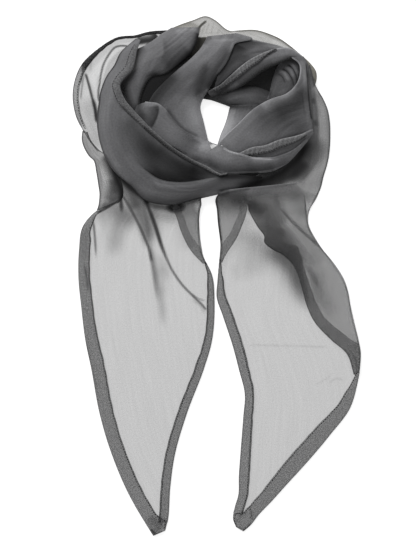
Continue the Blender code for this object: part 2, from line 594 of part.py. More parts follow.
def hidden_ring_mesh():
    """The hidden layers as one ring: stepped layers at both rims and a rounded top, carried round the hole."""
    rows = np.array([[*inner, *outer] for inner, outer in HIDDEN_RING + HIDDEN_RING[:1]], float)
    count = len(rows) - 1
    turns = np.vstack([rows[-3:-1], rows, rows[1:3]])
    shares = np.linspace(0, count, 42, endpoint=False)
    read = smooth_through(np.arange(-2, count + 3, dtype=float), turns, shares)
    inner, outer = read[:, :2], read[:, 2:]
    outer_steps = [
        (1 - layer * LAYER_INSET, LAYER_RISE * (layer + up)) for layer in range(3) for up in (0, 1)
    ]
    step_top, step_at = outer_steps[-1][1], 1 - outer_steps[-1][0]
    angles = np.linspace(0, np.pi, 7)[1:-1]
    dome = [
        (0.5 + (0.5 - step_at) * np.cos(angle), step_top + (HIDDEN_HEIGHT - step_top) * np.sin(angle))
        for angle in angles
    ]
    inner_steps = [(1 - across, height) for across, height in reversed(outer_steps)]
    profile = np.array(outer_steps + dome + inner_steps)
    across = profile[:, 0][None, :, None]
    plan = inner[:, None] * (1 - across) + outer[:, None] * across
    points = np.dstack([plan, np.broadcast_to(profile[:, 1], plan.shape[:2])]).reshape(-1, 3)
    around, section = plan.shape[:2]
    corner = np.arange(around * section).reshape(around, section)
    a, b = corner, np.roll(corner, -1, axis=0)
    c, d = np.roll(b, -1, axis=1), np.roll(corner, -1, axis=1)
    a, b, c, d = (side.ravel() for side in (a, b, c, d))
    return points, np.vstack([np.column_stack([a, b, c]), np.column_stack([a, c, d])])


def facing_out(points, triangles):
    """The triangles, turned round where they enclose a negative volume."""
    corners = points[triangles]
    volume = np.einsum("ij,ij->i", corners[:, 0], np.cross(corners[:, 1], corners[:, 2])).sum()
    return triangles if volume > 0 else triangles[:, ::-1]


def cloth_material(name, colour):
    """Matt polyester chiffon: rough, not metallic, with a faint sheen."""
    material = bpy.data.materials.new(name)
    material.use_nodes = True
    shader = material.node_tree.nodes["Principled BSDF"]
    shader.inputs["Base Color"].default_value = colour
    shader.inputs["Roughness"].default_value = 0.85
    shader.inputs["Metallic"].default_value = 0.0
    shader.inputs["Sheen Weight"].default_value = 0.2
    return material


def add_object(name, points, triangles, colour):
    """A mesh object in metres with its own material, shaded smooth but for sharp folds."""
    mesh = bpy.data.meshes.new(name)
    mesh.from_pydata((points * MM).tolist(), [], triangles.tolist())
    mesh.materials.append(cloth_material(f"{name}_chiffon", colour))
    mesh.shade_smooth()
    mesh.set_sharp_from_angle(angle=np.radians(50))
    scarf = bpy.data.objects.new(name, mesh)
    bpy.context.collection.objects.link(scarf)


def clear_scene():
    for old in list(bpy.data.objects):
        bpy.data.objects.remove(old, do_unlink=True)


def build():
    """Lays every stretch and hem on the hidden layers, in order, and centres the scarf on its own box."""
    clear_scene()
    pile = Pile()
    ring, ring_triangles = hidden_ring_mesh()
    pile.stamp(ring, ring_triangles)
    solids = {"hidden_layers": (ring, ring_triangles, SHADOW_GREY)}
    sections = {}
    for piece in LAYING_ORDER:
        if isinstance(piece, Stretch):
            sections[piece.name] = piece.sections
            loose, thickness, colour = sheet_points(piece), CLOTH, GREY
        else:
            plan = hem_plan(piece, sections[piece.panel])
            loose = np.dstack([plan, pile.top(plan[..., 0], plan[..., 1])])
            thickness, colour = HEM, HEM_GREY
        points, triangles = wall_mesh(settle(loose, pile), thickness)
        pile.stamp(points, triangles)
        solids[piece.name] = (points, triangles, colour)
    everything = np.vstack([points for points, _, _ in solids.values()])
    low, high = everything.min(axis=0), everything.max(axis=0)
    origin = np.array([*(low + high)[:2] / 2, low[2]])
    for name, (points, triangles, colour) in solids.items():
        add_object(name, points - origin, facing_out(points, triangles), colour)


build()
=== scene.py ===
"""The looks of a wound chiffon scarf: sheer cloth, stitched hems and the layers inside its ring.

Lengths in the tables are millimetres and lengths in Blender are metres. +Z is up, the scarf lies on z = 0
and +Y points from the two hanging ends to the ring. Each stretch of cloth is a surface of two parameters,
one along it and one across it: its table gives both edges section by section. The stretches are laid one
after another on a height map of the cloth that already lies there, as in the part's own source, and each
becomes a thin closed shell inside the wall of the node that it stands for.
"""

from __future__ import annotations

import logging
import sys
from dataclasses import dataclass, field
from enum import Enum

import bpy
import numpy as np
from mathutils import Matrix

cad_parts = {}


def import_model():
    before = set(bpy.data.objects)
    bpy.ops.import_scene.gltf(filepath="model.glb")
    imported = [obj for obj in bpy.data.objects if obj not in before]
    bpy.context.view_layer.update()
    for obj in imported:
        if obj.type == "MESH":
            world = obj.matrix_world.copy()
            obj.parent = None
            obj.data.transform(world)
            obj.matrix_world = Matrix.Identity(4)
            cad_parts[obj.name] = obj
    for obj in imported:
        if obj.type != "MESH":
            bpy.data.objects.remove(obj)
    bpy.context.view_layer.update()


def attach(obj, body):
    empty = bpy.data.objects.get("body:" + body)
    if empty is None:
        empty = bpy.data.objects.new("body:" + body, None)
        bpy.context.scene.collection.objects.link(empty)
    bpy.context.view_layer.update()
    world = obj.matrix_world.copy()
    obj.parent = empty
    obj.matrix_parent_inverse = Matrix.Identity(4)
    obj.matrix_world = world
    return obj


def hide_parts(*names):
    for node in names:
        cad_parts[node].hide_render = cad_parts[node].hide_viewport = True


LOG = logging.getLogger("scarf")
Array = np.ndarray
Point = tuple[float, float]

MM = 0.001
PLAN_CENTRE = (-0.334, 0.525)  # where the part's own origin lies in the tables
WALL = 1.2  # wall of the part's solids, inside which the thin cloth lies
WALL_GAP = 0.45  # between one wall and the next
SHEER_SHELL = 0.3  # thickness of the thin cloth that shows
CELL = 0.5  # height map cell
MAP_HALF = (150, 260)  # half the height map's width and length
ROUNDNESS = 2.4  # 2 bulges as an ellipse, more is flatter on top
UV_UNIT = 100.0  # millimetres of cloth for one unit of its UV map
LAYER_PASS = 0.565  # share of light that one layer of chiffon lets straight through
NOISE_GAIN = 4.0  # turns noise that is mostly from 0.25 to 0.75 into noise from -1 to 1
CURVE_STEPS = 12  # readings of a crease's curve for each point of its path
MEASURE_STEPS = 60  # readings of a stretch's edges to measure its length and width
ROW_LIMITS = (24, 300)  # fewest and most steps along a stretch
COLUMN_LIMITS = (14, 110)  # fewest and most steps across it
LAYER_LIMITS = (0.02, 14.0)  # least and most layers at a point
PAINTED_LIGHT_LIMITS = (0.03, 4.0)  # darkest and lightest painted light at a point
RIPPLE_WAVES = 5  # cosines that make up the gathers
RIPPLE_SUM = 2.2  # about how high they rise together
HEM_SHARE = 0.46  # the most of its panel's width that one hem takes, near a pointed tip
HEM_READINGS = 400  # readings of the panel's edge that a hem follows
HEM_STEP = 1.1  # between two rows of a hem's points
HEM_COLUMNS = 15  # points across a hem
HEM_EVEN = 0.4  # 1 spaces them evenly, 0 as a cosine does, closer at both edges
HEM_LEAN = 0.55  # least cosine between the way across the panel and the way straight in from its edge
HEM_SWAY = 0.22  # how much a hem's width varies
HEM_SWAY_APART = 14.0  # and how far apart
HEM_OVERHANG = 0.25  # how far a hem reaches past its panel's edge
HEM_PASSES = 12  # how often the lift of a hem is softened
HEM_LEAST = 0.12  # its least height
PUCKER_APART = 5.0  # between two puckers of a hem
WRINKLE_SHADING_APART = 3.4  # between two painted wrinkles, lines of painted shade and painted highlight on a hem
WRINKLE_SHADING_SLANT = 0.6  # how much they slant
STITCH_PITCH = 2.5  # from one stitch to the next
STITCH_LENGTH = 1.8
STITCH_RADIUS = 0.45
STITCH_MARGIN = 1.5  # bare hem before the first stitch and after the last

# Sections of each stretch: left x, y, z, right x, y, z and crown. Left and right are its two edges.
LEFT_TAIL = (
    (-96.2, 101.8, 4, -20.4, 101.8, 4, 2.0), (-91.8, 90, 4, -20, 90, 4, 2.0),
    (-88.7, 78.5, 3.5, -17.2, 78.5, 4, 2.0), (-90.7, 71.5, 3, -15, 69, 3, 2.0),
    (-111, 61, 1, -16, 62, 1.5, 2.0), (-119.5, 53.5, 0, -17, 52, 1, 1.5),
    (-125.5, 44, 0, -17, 38, 0, 1.0), (-128, 25, 0, -15, 23, 0, 0.5),
    (-128.6, -1, 0, -4.7, 1, 0, 0.0), (-126, -28, 0, -2.5, -22, 0, 0.0),
    (-121.5, -63, 0, -5.3, -62, 0, 0.0), (-117, -84, 0, -11.7, -84, 0, 0.0),
    (-109, -127, 0, -28, -127, 0, 0.0), (-99.5, -160, 0, -38.5, -162, 0, 0.0),
    (-84, -198, 0, -43.6, -196, 0, 0.0), (-69, -225, 0, -45.6, -225.6, 0, 0.0),
    (-59, -241, 0, -48, -236.2, 0, 0.0),
)
LEFT_TAIL_TURNBACK = (
    (-43.2, 71.6, 3, -14.9, 74.8, 3, 0.8), (-41.3, 64.1, 3, -15.3, 66.9, 3, 0.9),
    (-37.4, 55.3, 2, -16.7, 59.9, 2, 1.0), (-33.5, 43, 1.5, -16.8, 45, 1.5, 1.0),
    (-26, 27.5, 1.5, -15.3, 29, 1.5, 0.8), (-20.5, 20, 1.5, -13, 18, 1.5, 0.5),
    (-13, 12.5, 1.5, -9.3, 11, 1.5, 0.2),
)
LEFT_DRAPE = (
    (-124.1, 135.7, 1, -120.9, 133.9, 4, 1.0), (-125.1, 128.8, 1, -117.6, 126, 4, 1.5),
    (-123.7, 121.8, 1, -110.7, 117.6, 4, 2.0), (-119, 113, 0.5, -101.4, 111.1, 4, 2.5),
    (-113.9, 107.8, 0.5, -95.3, 102.7, 4, 3.0), (-111.6, 97.1, 0.5, -91.6, 92.5, 4, 3.0),
    (-109.7, 85.1, 0.5, -87.9, 83.2, 4, 3.0), (-108.6, 75.8, 0.5, -87.4, 76.2, 4, 2.5),
    (-109.7, 65.5, 0.5, -88.8, 72, 4, 2.0), (-111.1, 61.1, 0.5, -92.1, 68.3, 4, 1.0),
)
OUTER_LEFT_LOOP = (
    (-45.6, 228.3, 0, -53, 215, 5, 1.0), (-62.7, 227, 0, -62, 210.6, 5, 1.5),
    (-76.5, 223.4, 0, -71.6, 206, 5, 2.0), (-91.3, 222, 0, -81, 201, 5, 2.5),
    (-109, 212, 0, -90, 192, 4, 3.0), (-125.2, 197, 0, -97.6, 183, 4, 3.0),
    (-132, 181, 0, -101.4, 171.5, 4, 3.0), (-133.6, 166, 0, -103, 160.4, 4, 3.0),
    (-130.4, 148.6, 0, -103, 149, 4, 3.0), (-124, 136, 0, -101.4, 136, 4, 2.5),
    (-117.9, 126, 0, -97.6, 125, 4, 2.0), (-110.7, 116.7, 1, -92, 113, 4, 1.5),
)
BACK_PEAK = (
    (-53, 223.6, 1, -48.4, 206, 8, 1.0), (-45.6, 228.3, 0, -42, 205, 8, 2.0),
    (-34.4, 233.4, 0, -30.7, 205, 8, 2.5), (-22.3, 237.6, 0, -19.5, 205, 8, 2.5),
    (-10.2, 241.4, 0, -8.4, 205, 8, 2.5), (-1.8, 237.6, 0, 1, 205, 8, 2.5),
    (8.4, 229.2, 0, 10.2, 205, 8, 2.0), (17.7, 226.4, 0, 21.4, 205, 8, 1.5),
)
BACK_LOOP = (
    (8.4, 226.4, 1, 14, 199.4, 9, 2.0), (21.4, 228.2, 0, 24.2, 201.3, 9, 3.0),
    (37.2, 228.3, 0, 35.4, 203, 9, 3.5), (49.3, 224.6, 0, 43.7, 203, 9, 4.0),
    (58.6, 220.3, 0, 51.2, 201.3, 10, 4.0), (68, 213.6, 0, 58.6, 197.6, 10, 4.0),
    (77.2, 206, 0, 66, 192, 10, 4.0), (85.6, 198.5, 0, 70.7, 186.4, 10, 4.0),
    (91.4, 190.6, 0, 73.5, 179, 10, 4.0), (92, 183.6, 0, 74.4, 171.5, 10, 3.5),
    (90.4, 177, 0, 74.4, 166, 10, 3.0),
)
RIGHT_OUTER = (
    (85.6, 195.7, 4, 79.1, 192, 9, 1.5), (90.8, 177.6, 1, 80, 177.1, 10, 3.0),
    (98.6, 164, 0, 82, 164, 10, 4.0), (102.3, 155, 0, 83.7, 155, 10, 4.5),
    (104.2, 144.6, 0, 85.6, 145.5, 10, 5.0), (104.7, 129, 0, 80, 132.5, 10, 5.0),
    (103.7, 114, 0, 69.8, 117.6, 9, 5.5), (101.7, 103.7, 0, 54.9, 105.5, 8, 5.5),
    (98.6, 93.4, 0, 41.9, 96.2, 8, 5.0), (95.5, 81.3, 0, 28.8, 86, 7, 4.0),
    (91.1, 72.5, 0, 25.1, 75.8, 5, 3.0), (86, 63.7, 0, 23.3, 66.5, 3, 2.0),
)
TOP_INNER_BAND = (
    (-13, 169.7, 8, -13.2, 165.6, 4, 1.0), (-3, 170.9, 10, -4.6, 164.1, 3, 2.0),
    (8.4, 172.5, 11, 5.6, 160.6, 2, 4.0), (21.4, 175.3, 12, 15.8, 157, 3, 5.0),
    (34.4, 175.3, 12, 27, 155.3, 4, 5.0), (45.6, 171.5, 12, 38, 155.7, 6, 4.0),
    (55, 167, 12, 47.4, 156.7, 9, 3.0),
)
HOLE_RIGHT_STRAND = (
    (12.7, 158.7, 3, 38, 158.5, 11, 4.0), (11, 151, 1.5, 34.4, 152, 12, 4.5),
    (8.4, 142.2, 1.5, 30.7, 143.6, 12, 4.5), (4.2, 132, 1.5, 25, 134.3, 11, 4.0),
    (0.9, 121.5, 2.5, 17.7, 121.3, 9, 3.0),
)
LEFT_STRAND = (
    (-42, 230, 7, -16.7, 230.1, 10, 3.0), (-51.3, 224, 8, -18.1, 220.9, 13, 5.0),
    (-60, 217.3, 9, -20.9, 212.5, 14, 6.5), (-68.6, 212.5, 9, -26.5, 203.9, 13, 7.5),
    (-75.5, 208.7, 8, -37.1, 194.8, 11, 8.0), (-80.9, 197.8, 8, -48.3, 187.9, 9, 7.0),
    (-86.5, 186.4, 8, -61.2, 184.6, 8, 6.0), (-89.3, 175.3, 8, -67.9, 174.3, 8, 5.0),
    (-86.5, 165, 8, -71.1, 164, 8, 3.5), (-80, 153.7, 8, -73, 151.1, 8, 1.5),
)
INNER_LEFT_STRAND = (
    (-8.4, 221.9, 9, 18.1, 224.7, 9, 3.0), (-10, 218.8, 10.5, 32.1, 220.1, 9.5, 3.5),
    (-11.8, 215.3, 12, 16.4, 215.4, 12, 4.5), (-14, 211.5, 14, 14.4, 211.5, 12, 5.0),
    (-24.2, 200.4, 16, 9.3, 199, 12, 6.0), (-36.3, 190, 16, -1.8, 183.6, 11, 7.0),
    (-48.5, 179, 15, -9.3, 171.5, 9, 8.0), (-58.6, 168, 13, -13.8, 164.6, 4, 9.0),
    (-65, 155, 11, -16, 157.1, 2, 10.0), (-62.3, 138, 10, -13, 143.5, 2, 10.0),
    (-50, 125, 9, -10.2, 131.6, 2, 10.0), (-40, 116.7, 9, -8.9, 126.5, 2, 9.5),
    (-28.8, 108.8, 9, -7.4, 124.7, 2, 9.0), (-14, 102, 8, 0.3, 121.6, 3, 7.5),
    (6.5, 94.8, 8, 5.2, 119.8, 8, 6.5), (17.7, 95.3, 8, 13, 115.3, 11, 6.5),
    (28.8, 96.2, 8, 23.3, 112.5, 13, 6.5), (42, 96.5, 8, 32.6, 109.7, 14, 7.0),
    (51.2, 98, 8, 43.3, 109, 15, 6.5), (59.5, 101.8, 9, 53, 109.7, 15, 5.0),
    (67, 107, 10, 64.2, 113.4, 15, 3.5), (75.3, 116.2, 12, 73.5, 118.5, 15, 1.5),
    (83.7, 126, 13, 82.8, 127.4, 14, 0.3),
)
INNER_LEFT_FOLD = (
    (-73.5, 158.5, 12, -66, 160.8, 15, 1.0), (-75.3, 152, 12, -56.3, 159.5, 19, 1.5),
    (-70.7, 143.6, 12, -48.9, 154.8, 20, 1.5), (-62.3, 135.3, 13, -43.3, 147.4, 20, 1.5),
    (-53, 127.8, 14, -36.3, 138.6, 19, 1.5), (-42.8, 121.3, 14, -27.9, 132.5, 18, 1.2),
    (-31.6, 115.7, 13, -20, 128.4, 16, 0.8), (-21.4, 112, 12, -12.5, 125, 14, 0.3),
)
RIGHT_LOOP_INSIDE = (
    (58.6, 197.6, 12, 74.4, 201.3, 15, 1.0), (54.9, 191.1, 11, 75.8, 194.8, 15, 2.0),
    (52.1, 183.6, 11, 75.8, 186.4, 15, 3.0), (50.2, 175.3, 11, 73.5, 177.1, 15, 3.0),
    (46.5, 163.2, 11, 62.3, 167, 15, 2.0),
)
TOP_RIGHT_BACK = (
    (4.7, 197.6, 14, -2.8, 173.4, 14, 1.0), (11.2, 212.5, 12, 8.4, 182.7, 16, 2.0),
    (17.7, 221.4, 10, 19.5, 192, 17, 3.0), (30.7, 219.3, 9, 30.7, 198.5, 17, 3.5),
    (44.7, 216, 9, 42, 202.2, 17, 3.5), (58.6, 212.5, 10, 55, 206, 16, 2.5),
    (69.8, 207.3, 12, 66, 205, 14, 1.0),
)
TOP_RIGHT_BAND = (
    (-9.3, 170.8, 10, -4.6, 166, 10, 0.3), (1.9, 175.9, 14, 8.4, 170.1, 14, 0.8),
    (11.2, 183.6, 18, 20.5, 174.8, 18, 1.6), (21.9, 192.9, 21, 31.6, 181.8, 21, 2.5),
    (32.6, 200.4, 21, 40.9, 188.7, 22, 2.5), (43.3, 205.5, 20, 50.2, 193.4, 22, 2.5),
    (55.3, 209.7, 18, 59.5, 197.6, 22, 2.5), (68, 209.9, 15, 67.4, 200.6, 21, 2.5),
    (77.2, 204, 14, 73, 199.4, 20, 2.0), (82, 196.7, 13, 76.3, 194, 18, 1.5),
    (83.7, 185.5, 13, 77.2, 183.6, 17, 1.0),
)
RIGHT_LOOP = (
    (68.8, 201.7, 20, 79.5, 202.6, 11, 1.5), (75.3, 197, 21, 83.2, 195.7, 12, 2.5),
    (76.7, 185.5, 21, 83.8, 182.7, 12, 3.0), (73, 176.2, 21, 84.5, 170.6, 12, 4.0),
    (63.2, 167.3, 22, 85.8, 156.7, 12, 5.5), (48.4, 162.2, 22, 87.4, 143.6, 12, 6.0),
    (37.2, 156.1, 20, 87.4, 135.3, 12, 6.0), (30.7, 151.1, 19, 80, 130.6, 13, 5.5),
    (25, 145.5, 17, 68, 126, 13, 5.0), (19.5, 140, 15, 55, 121.3, 13, 4.5),
    (13, 134.3, 12, 42, 116.7, 12, 4.0), (7.5, 129.2, 9, 28.8, 113, 11, 3.0),
    (2.3, 123.6, 7, 14, 112, 10, 2.0),
)
INNER_BOTTOM_BAND = (
    (19.5, 113, 14, 25, 108.3, 12, 0.5), (32, 118.5, 17, 38, 103.7, 11, 2.0),
    (44.4, 120.5, 18, 51, 103.7, 11, 3.0), (57.7, 125.6, 19, 64.2, 110.2, 11, 3.0),
    (73, 129.2, 18, 75.3, 117.6, 12, 2.5), (80.2, 131.7, 17, 82.8, 125.5, 12, 1.5),
    (88, 135.7, 15, 88.4, 132.5, 13, 0.5),
)
FRONT_BAND = (
    (-74.8, 220.2, 6, -71.3, 219, 8, 1.0), (-87.4, 209.1, 5, -74.1, 210.6, 13, 3.0),
    (-95.4, 194.6, 4, -79.1, 190.7, 16, 5.0), (-101.8, 185.5, 4, -86.1, 183.3, 17.5, 5.3),
    (-105.5, 177.1, 4, -89.9, 176.7, 18, 5.5), (-108.1, 168.8, 3.5, -88.9, 170.6, 18.5, 6.2),
    (-109.1, 160.8, 3, -85.1, 162.4, 19, 7.0), (-110.7, 147.4, 3, -78, 153.7, 20, 8.0),
    (-110.2, 136.2, 3, -69.7, 144.6, 21, 9.0), (-105, 114.8, 3, -57.7, 132.5, 21, 10.0),
    (-95, 98, 3, -43.7, 120.4, 21, 10.0), (-79, 84, 4, -25, 108.3, 20, 10.0),
    (-66, 71, 4, -8.8, 100.6, 18, 9.5), (-42.8, 67, 4, 2.4, 94.6, 15, 8.0),
    (-15, 73, 4, 11.6, 95, 13, 6.0), (-1, 76.2, 5, 21.4, 93.4, 12, 4.5),
    (21.4, 80.4, 7, 42, 91.6, 11, 2.5),
)
RIGHT_TAIL = (
    (3.7, 80, 8, 97.5, 89.5, 3, 5.0), (-0.9, 71, 4, 92.5, 74, 1, 5.0),
    (0.4, 62.7, 2, 85.6, 62, 0, 4.0), (1.4, 49.7, 1, 84.3, 48.4, 0, 3.0),
    (3.3, 34, 0, 89.3, 35.8, 0, 2.0), (2.8, 19, 0, 105.5, 14.4, 0, 1.0),
    (0.6, -5, 0, 121, -12.6, 0, 0.5), (0, -19.7, 0, 125.6, -37.5, 0, 0),
    (5.6, -36.8, 0, 131.7, -61, 0, 0), (14, -62, 0, 133.6, -74, 0, 0),
    (20.7, -87, 0, 131, -96.3, 0, 0), (26, -109, 0, 123, -123.3, 0, 0),
    (24.7, -130, 0, 105.4, -146.7, 0, 0), (22, -164.7, 0, 82, -174.4, 0, 0),
    (20.5, -186, 0, 65, -193, 0, 0), (20, -203.3, 0, 49.6, -210, 0, 0),
    (16.8, -214.4, 0, 39, -221, 0, 0), (15, -226.5, 0, 30.6, -231.5, 0, 0),
    (17.7, -233, 0, 24.2, -237, 0, 0),
)
RIGHT_TAIL_TURNBACK = (
    (22.8, 77.6, 3, 80, 80.4, 3, 2.0), (27.4, 67.4, 3, 82, 67.4, 3, 2.0),
    (32, 56.6, 2, 83.2, 55.3, 2, 2.0), (38, 46.4, 2, 85, 46.4, 2, 2.0),
    (44.3, 37.2, 2, 89.3, 37.6, 2, 2.0), (44.1, 32.4, 2, 93, 31.6, 2, 2.0),
    (51.9, 25.5, 2, 97.7, 24.6, 2, 2.0), (60.5, 21.1, 2, 104.2, 16.8, 2, 1.8),
    (67.5, 15, 2, 109, 10.7, 2, 1.5), (74.4, 4, 2, 117.2, -2.4, 2, 1.5),
    (79, -10.7, 2, 121.4, -14.5, 2, 1.0), (83.7, -26.6, 2, 123.7, -27.5, 2, 1.0),
    (91, -42, 2, 127.4, -44, 2, 1.0), (106.6, -58.7, 2, 131, -59, 2, 0.8),
    (120, -70.3, 2, 133, -70.3, 2, 0.5), (127.8, -91.3, 2, 132.1, -88.4, 2, 0.2),
)
RIGHT_TAIL_SIDE_TURNBACK = (
    (1.5, 77.1, 3, 26.1, 79.9, 3, 1.5), (-0.5, 70.6, 3, 27.3, 70.6, 3, 1.5),
    (0.5, 61.8, 2, 27, 59.7, 2, 1.5), (1.5, 48.8, 2, 22.9, 47.4, 2, 1.5),
    (3.7, 34.4, 2, 16.8, 33.9, 2, 1.0), (4.1, 26.5, 2, 10.8, 24.9, 2, 0.5),
    (3, 19, 2, 6.5, 17.6, 2, 0.2), (2.7, 13.9, 2, 4.3, 13, 2, 0.1),
)

# Sections of the ring of hidden layers: inner x, y and outer x, y, clockwise from the left.
HIDDEN_RING = (
    (-19.5, 147, -101, 144), (-20.5, 160, -96, 169), (-19.5, 167, -75, 193), (-13, 171, -48, 206),
    (-3, 171, -2, 209), (9, 167, 42, 207), (18, 160, 69, 193), (16, 149, 81, 164),
    (13, 138, 83, 132), (8.5, 125, 74, 101), (1, 116, 35, 84), (-8.5, 117, -11, 79),
    (-13, 125, -62, 81), (-17.5, 136, -93, 108),
)

# Creases of each stretch and hem, with the painted shade and painted highlight laid along them: the fields of
# the crease class in order; a row with no rise only adds layers, painted shade and painted highlight. A row may
# leave out the last ones.
OUTER_LEFT_LOOP_CREASES_AND_SHADING = (
    ((-122.3, 189.2, -119.2, 179, -116.1, 166.9, -113.1, 154.8, -111.6, 141.8), 0.3, 5, -0.5, 0.8, 0.7, 0.08),
    ((-115.3, 166, -112.5, 154.8, -111.1, 141.8), 0.2, 3, -0.4, 1.4, 1.8, 0.3),
    ((-81.8, 213.6, -90.4, 213.8, -96.3, 211, -103.2, 201.1, -106.9, 191.1, -108.9, 179, -110.1, 170.2,
      -109.5, 161.3), 0.3, 3.6, -0.35, 0.7, 0.6, 0.05),
    ((-80, 210.6, -89.3, 206.9, -97.6, 198.5, -102.3, 188.3, -105.1, 177.1, -106, 166), 0, 0.45, 0, 7, 2.5, 0.1, 4),
    ((-109.7, 188.3, -110.7, 175.3, -108.8, 160.4), 0, 0.3, 0, 1.5, 1.5, 0.2),
    ((-120, 182.7, -116.2, 167.8, -113.5, 149.2), 0, 0.25, 0, 3, 3, 0.3),
    ((-120, 156.7, -116.2, 143.6, -111.6, 126.9), 0, 0.55, 0, 8, 8, 0),
    ((-74.4, 217.1, -67, 218, -60.4, 219.4, -54.9, 223.6), 0, 7, -0.62, 3.8, 1.8, 0.08),
    ((-73.5, 210.1, -68.8, 211.5, -63.2, 216.6), 0, 5, -0.6, 0.6, 1.4, 0.1),
    ((-123.7, 190.1, -120, 195.7, -115.3, 202.2, -108.8, 207.8), 0.3, 2.6, -0.5, 1.0, 0.7, 0.25),
    ((-122.8, 191.1, -124.6, 180.8, -126, 169.7, -126.5, 162.2), 0.2, 1.6, -0.3, 0.8, 0.7, 0.3),
    ((-116.2, 201.3, -117.2, 195.7, -118.1, 188.3), 0.3, 0.5, 0, 1.2, 0.8, 0.4),
    ((-119, 171.5, -119, 158.5, -117.2, 143.6), 0.4, 0.12, 0.1, 2.5, 2.5, 0.3),
)
OUTER_LEFT_HEM_CREASES_AND_SHADING = (
    ((-43.7, 228.3, -62.3, 226.4, -80.9, 222.7, -93.9, 220.8, -107.9, 211.5, -118.1, 203.2, -125.5, 192.9), 0, 6,
      -0.68, 6, 6, 0.05, 4),
    ((-123.7, 196.7, -118.1, 202.7, -111.6, 208.3, -105.1, 212.9), 0, 0, 0.75, 0.5, 0.5, 0.2),
    ((-124.6, 192, -122.3, 193.9, -120, 195.7), 0, 3, -0.6, 1.0, 1.0, 0),
    ((-124.6, 193.9, -124.6, 186.4, -126.5, 177.1, -127.4, 166), 0, 2.5, -0.5, 1.6, 1.0, 0.2),
    ((-131.1, 184.6, -132.1, 171.5, -131.1, 156.7), 0, -0.2, 0.1, 1.4, 1.4, 0.2),
)
BACK_PEAK_CREASES_AND_SHADING = (
    ((-9.3, 237.6, -16, 231.5, -17.7, 226.4, -19.1, 221.3), 0.5, 6, -0.65, 0.7, 0.7, 0.1),
    ((-43.7, 238.5, -29.8, 236.6, -16.7, 231.1, -18.6, 221.8), 0, 1.1, 0.2, 1, 30, 0),
    ((-43.7, 229.7, -30.7, 231.1, -18.6, 232.9), 0, 0, 0.8, 0.8, 0.8, 0.3),
    ((-45.6, 222.7, -29.8, 223.6, -19.1, 220.8, -12.1, 220.3, -4.6, 219.9, 4.7, 221.8, 14.9, 224.1), 0, 9, -0.6,
      0.9, 30, 0, 4),
    ((-10.2, 234.8, -13, 229.2, -13.9, 223.6), 0.2, 0.5, 0, 0.6, 0.6, 0.3),
    ((-6.5, 236.6, -9.3, 229.2, -10.2, 222.7), 0.2, 0.4, 0, 0.5, 0.5, 0.3),
    ((-2.8, 236.6, -4.6, 229.2, -5.6, 222.7), 0.2, 0.4, 0, 0.6, 0.6, 0.3),
    ((3.7, 232, 0.9, 227.3, -0.9, 222.7), 0.2, 0.35, 0, 0.6, 0.6, 0.3),
    ((-13, 224.6, -4.6, 225.9, 4.7, 225.5), 0.2, 0.3, 0, 0.6, 0.6, 0.3),
)
BACK_LOOP_CREASES_AND_SHADING = (
    ((17.7, 214.3, 30.7, 214.3, 45.6, 213.4, 60.5, 207.8, 75.3, 195.7), 0.5, 8, -0.5, 1.0, 30, 0, 4),
    ((77.2, 206, 83.7, 197.6, 88.4, 188.3, 88.4, 176.2), 0, 6, 0.7, 7, 14, 0.1, 3),
    ((85.6, 195.7, 88.4, 189.2, 88.4, 180.8), 0.6, 0, 0.3, 1.2, 1.2, 0.3),
    ((80.9, 201.3, 84.6, 193.9, 85.6, 182.7), 0, 0, -0.3, 1.0, 1.0, 0.3),
    ((41.9, 226.4, 51.2, 220.8, 62.3, 216.2), 0.2, 0.4, 0, 0.6, 0.6, 0.3),
    ((27, 226.4, 36.3, 222.7, 45.6, 219), 0.2, 0.3, 0, 0.6, 0.6, 0.3),
    ((51.2, 222.7, 60.5, 217.1, 69.8, 209.7), 0.2, 0.3, 0, 0.6, 0.6, 0.3),
    ((49.3, 219, 58.6, 215.3, 69.8, 208.7), 0, -0.3, 0, 3, 3, 0.2),
)
RIGHT_OUTER_CREASES_AND_SHADING = (
    ((80, 203.2, 85.6, 179, 87.9, 164.1, 89.3, 149.2, 90.2, 134.3, 88.4, 117.6), 0.5, 4.5, 0.8, 3.2, 6, 0.12, 3),
    ((85.6, 205, 87.4, 192, 89.8, 179, 91.1, 166), 0, 0, 1.0, 4, 4, 0.2),
    ((85.2, 179, 87.2, 164.1, 88.4, 149.2, 88.8, 139.9), -0.3, 0, -0.35, 0.7, 0.7, 0.25),
    ((91.6, 173.4, 93, 160.4, 93.9, 143.6), 0, 0.6, -0.1, 3, 1.5, 0.3),
    ((88.4, 166, 88.9, 162.2, 89.3, 158.5), 0, 1, -0.5, 1.5, 1.5, 0.3),
    ((89.3, 145.5, 90.7, 141.8, 91.1, 138.1), 0, 1, -0.5, 2.2, 1.8, 0.3),
    ((17.7, 84.1, 32.6, 86.9, 47.4, 90.6, 62.3, 98.1, 73.5, 108.3, 81.9, 121.3, 87.4, 134.3), -0.4, 9, -0.8, 4, 5,
      0.24),
    ((25.1, 80.4, 41.9, 84.1, 58.6, 89.7, 73.5, 97.1, 82.8, 108.3), 0, 6, -0.5, 5, 5, 0.12),
    ((64.2, 87.8, 77.2, 100.9, 86.5, 115.7, 92.1, 132.5), 0, 4, -0.3, 9, 9, 0.3),
    ((73.5, 86, 80.9, 93.4, 89.3, 104.6, 93.9, 115.7), 0.4, 1.0, 0.35, 2.5, 2.0, 0.3),
    ((75.3, 80.4, 86.5, 84.1, 97.7, 89.7), 0, 1.0, 0, 8, 12, 0),
    ((95.8, 177.1, 96.7, 149.2, 96.7, 126.9, 93.9, 104.6, 88.4, 84.1), 0.5, 0.9, 0.1, 9, 10, 0.4),
    ((97.7, 164.1, 100.4, 147.4, 100.4, 126.9, 97.7, 108.3), 0.3, 0, 0.1, 3, 3, 0.2),
)
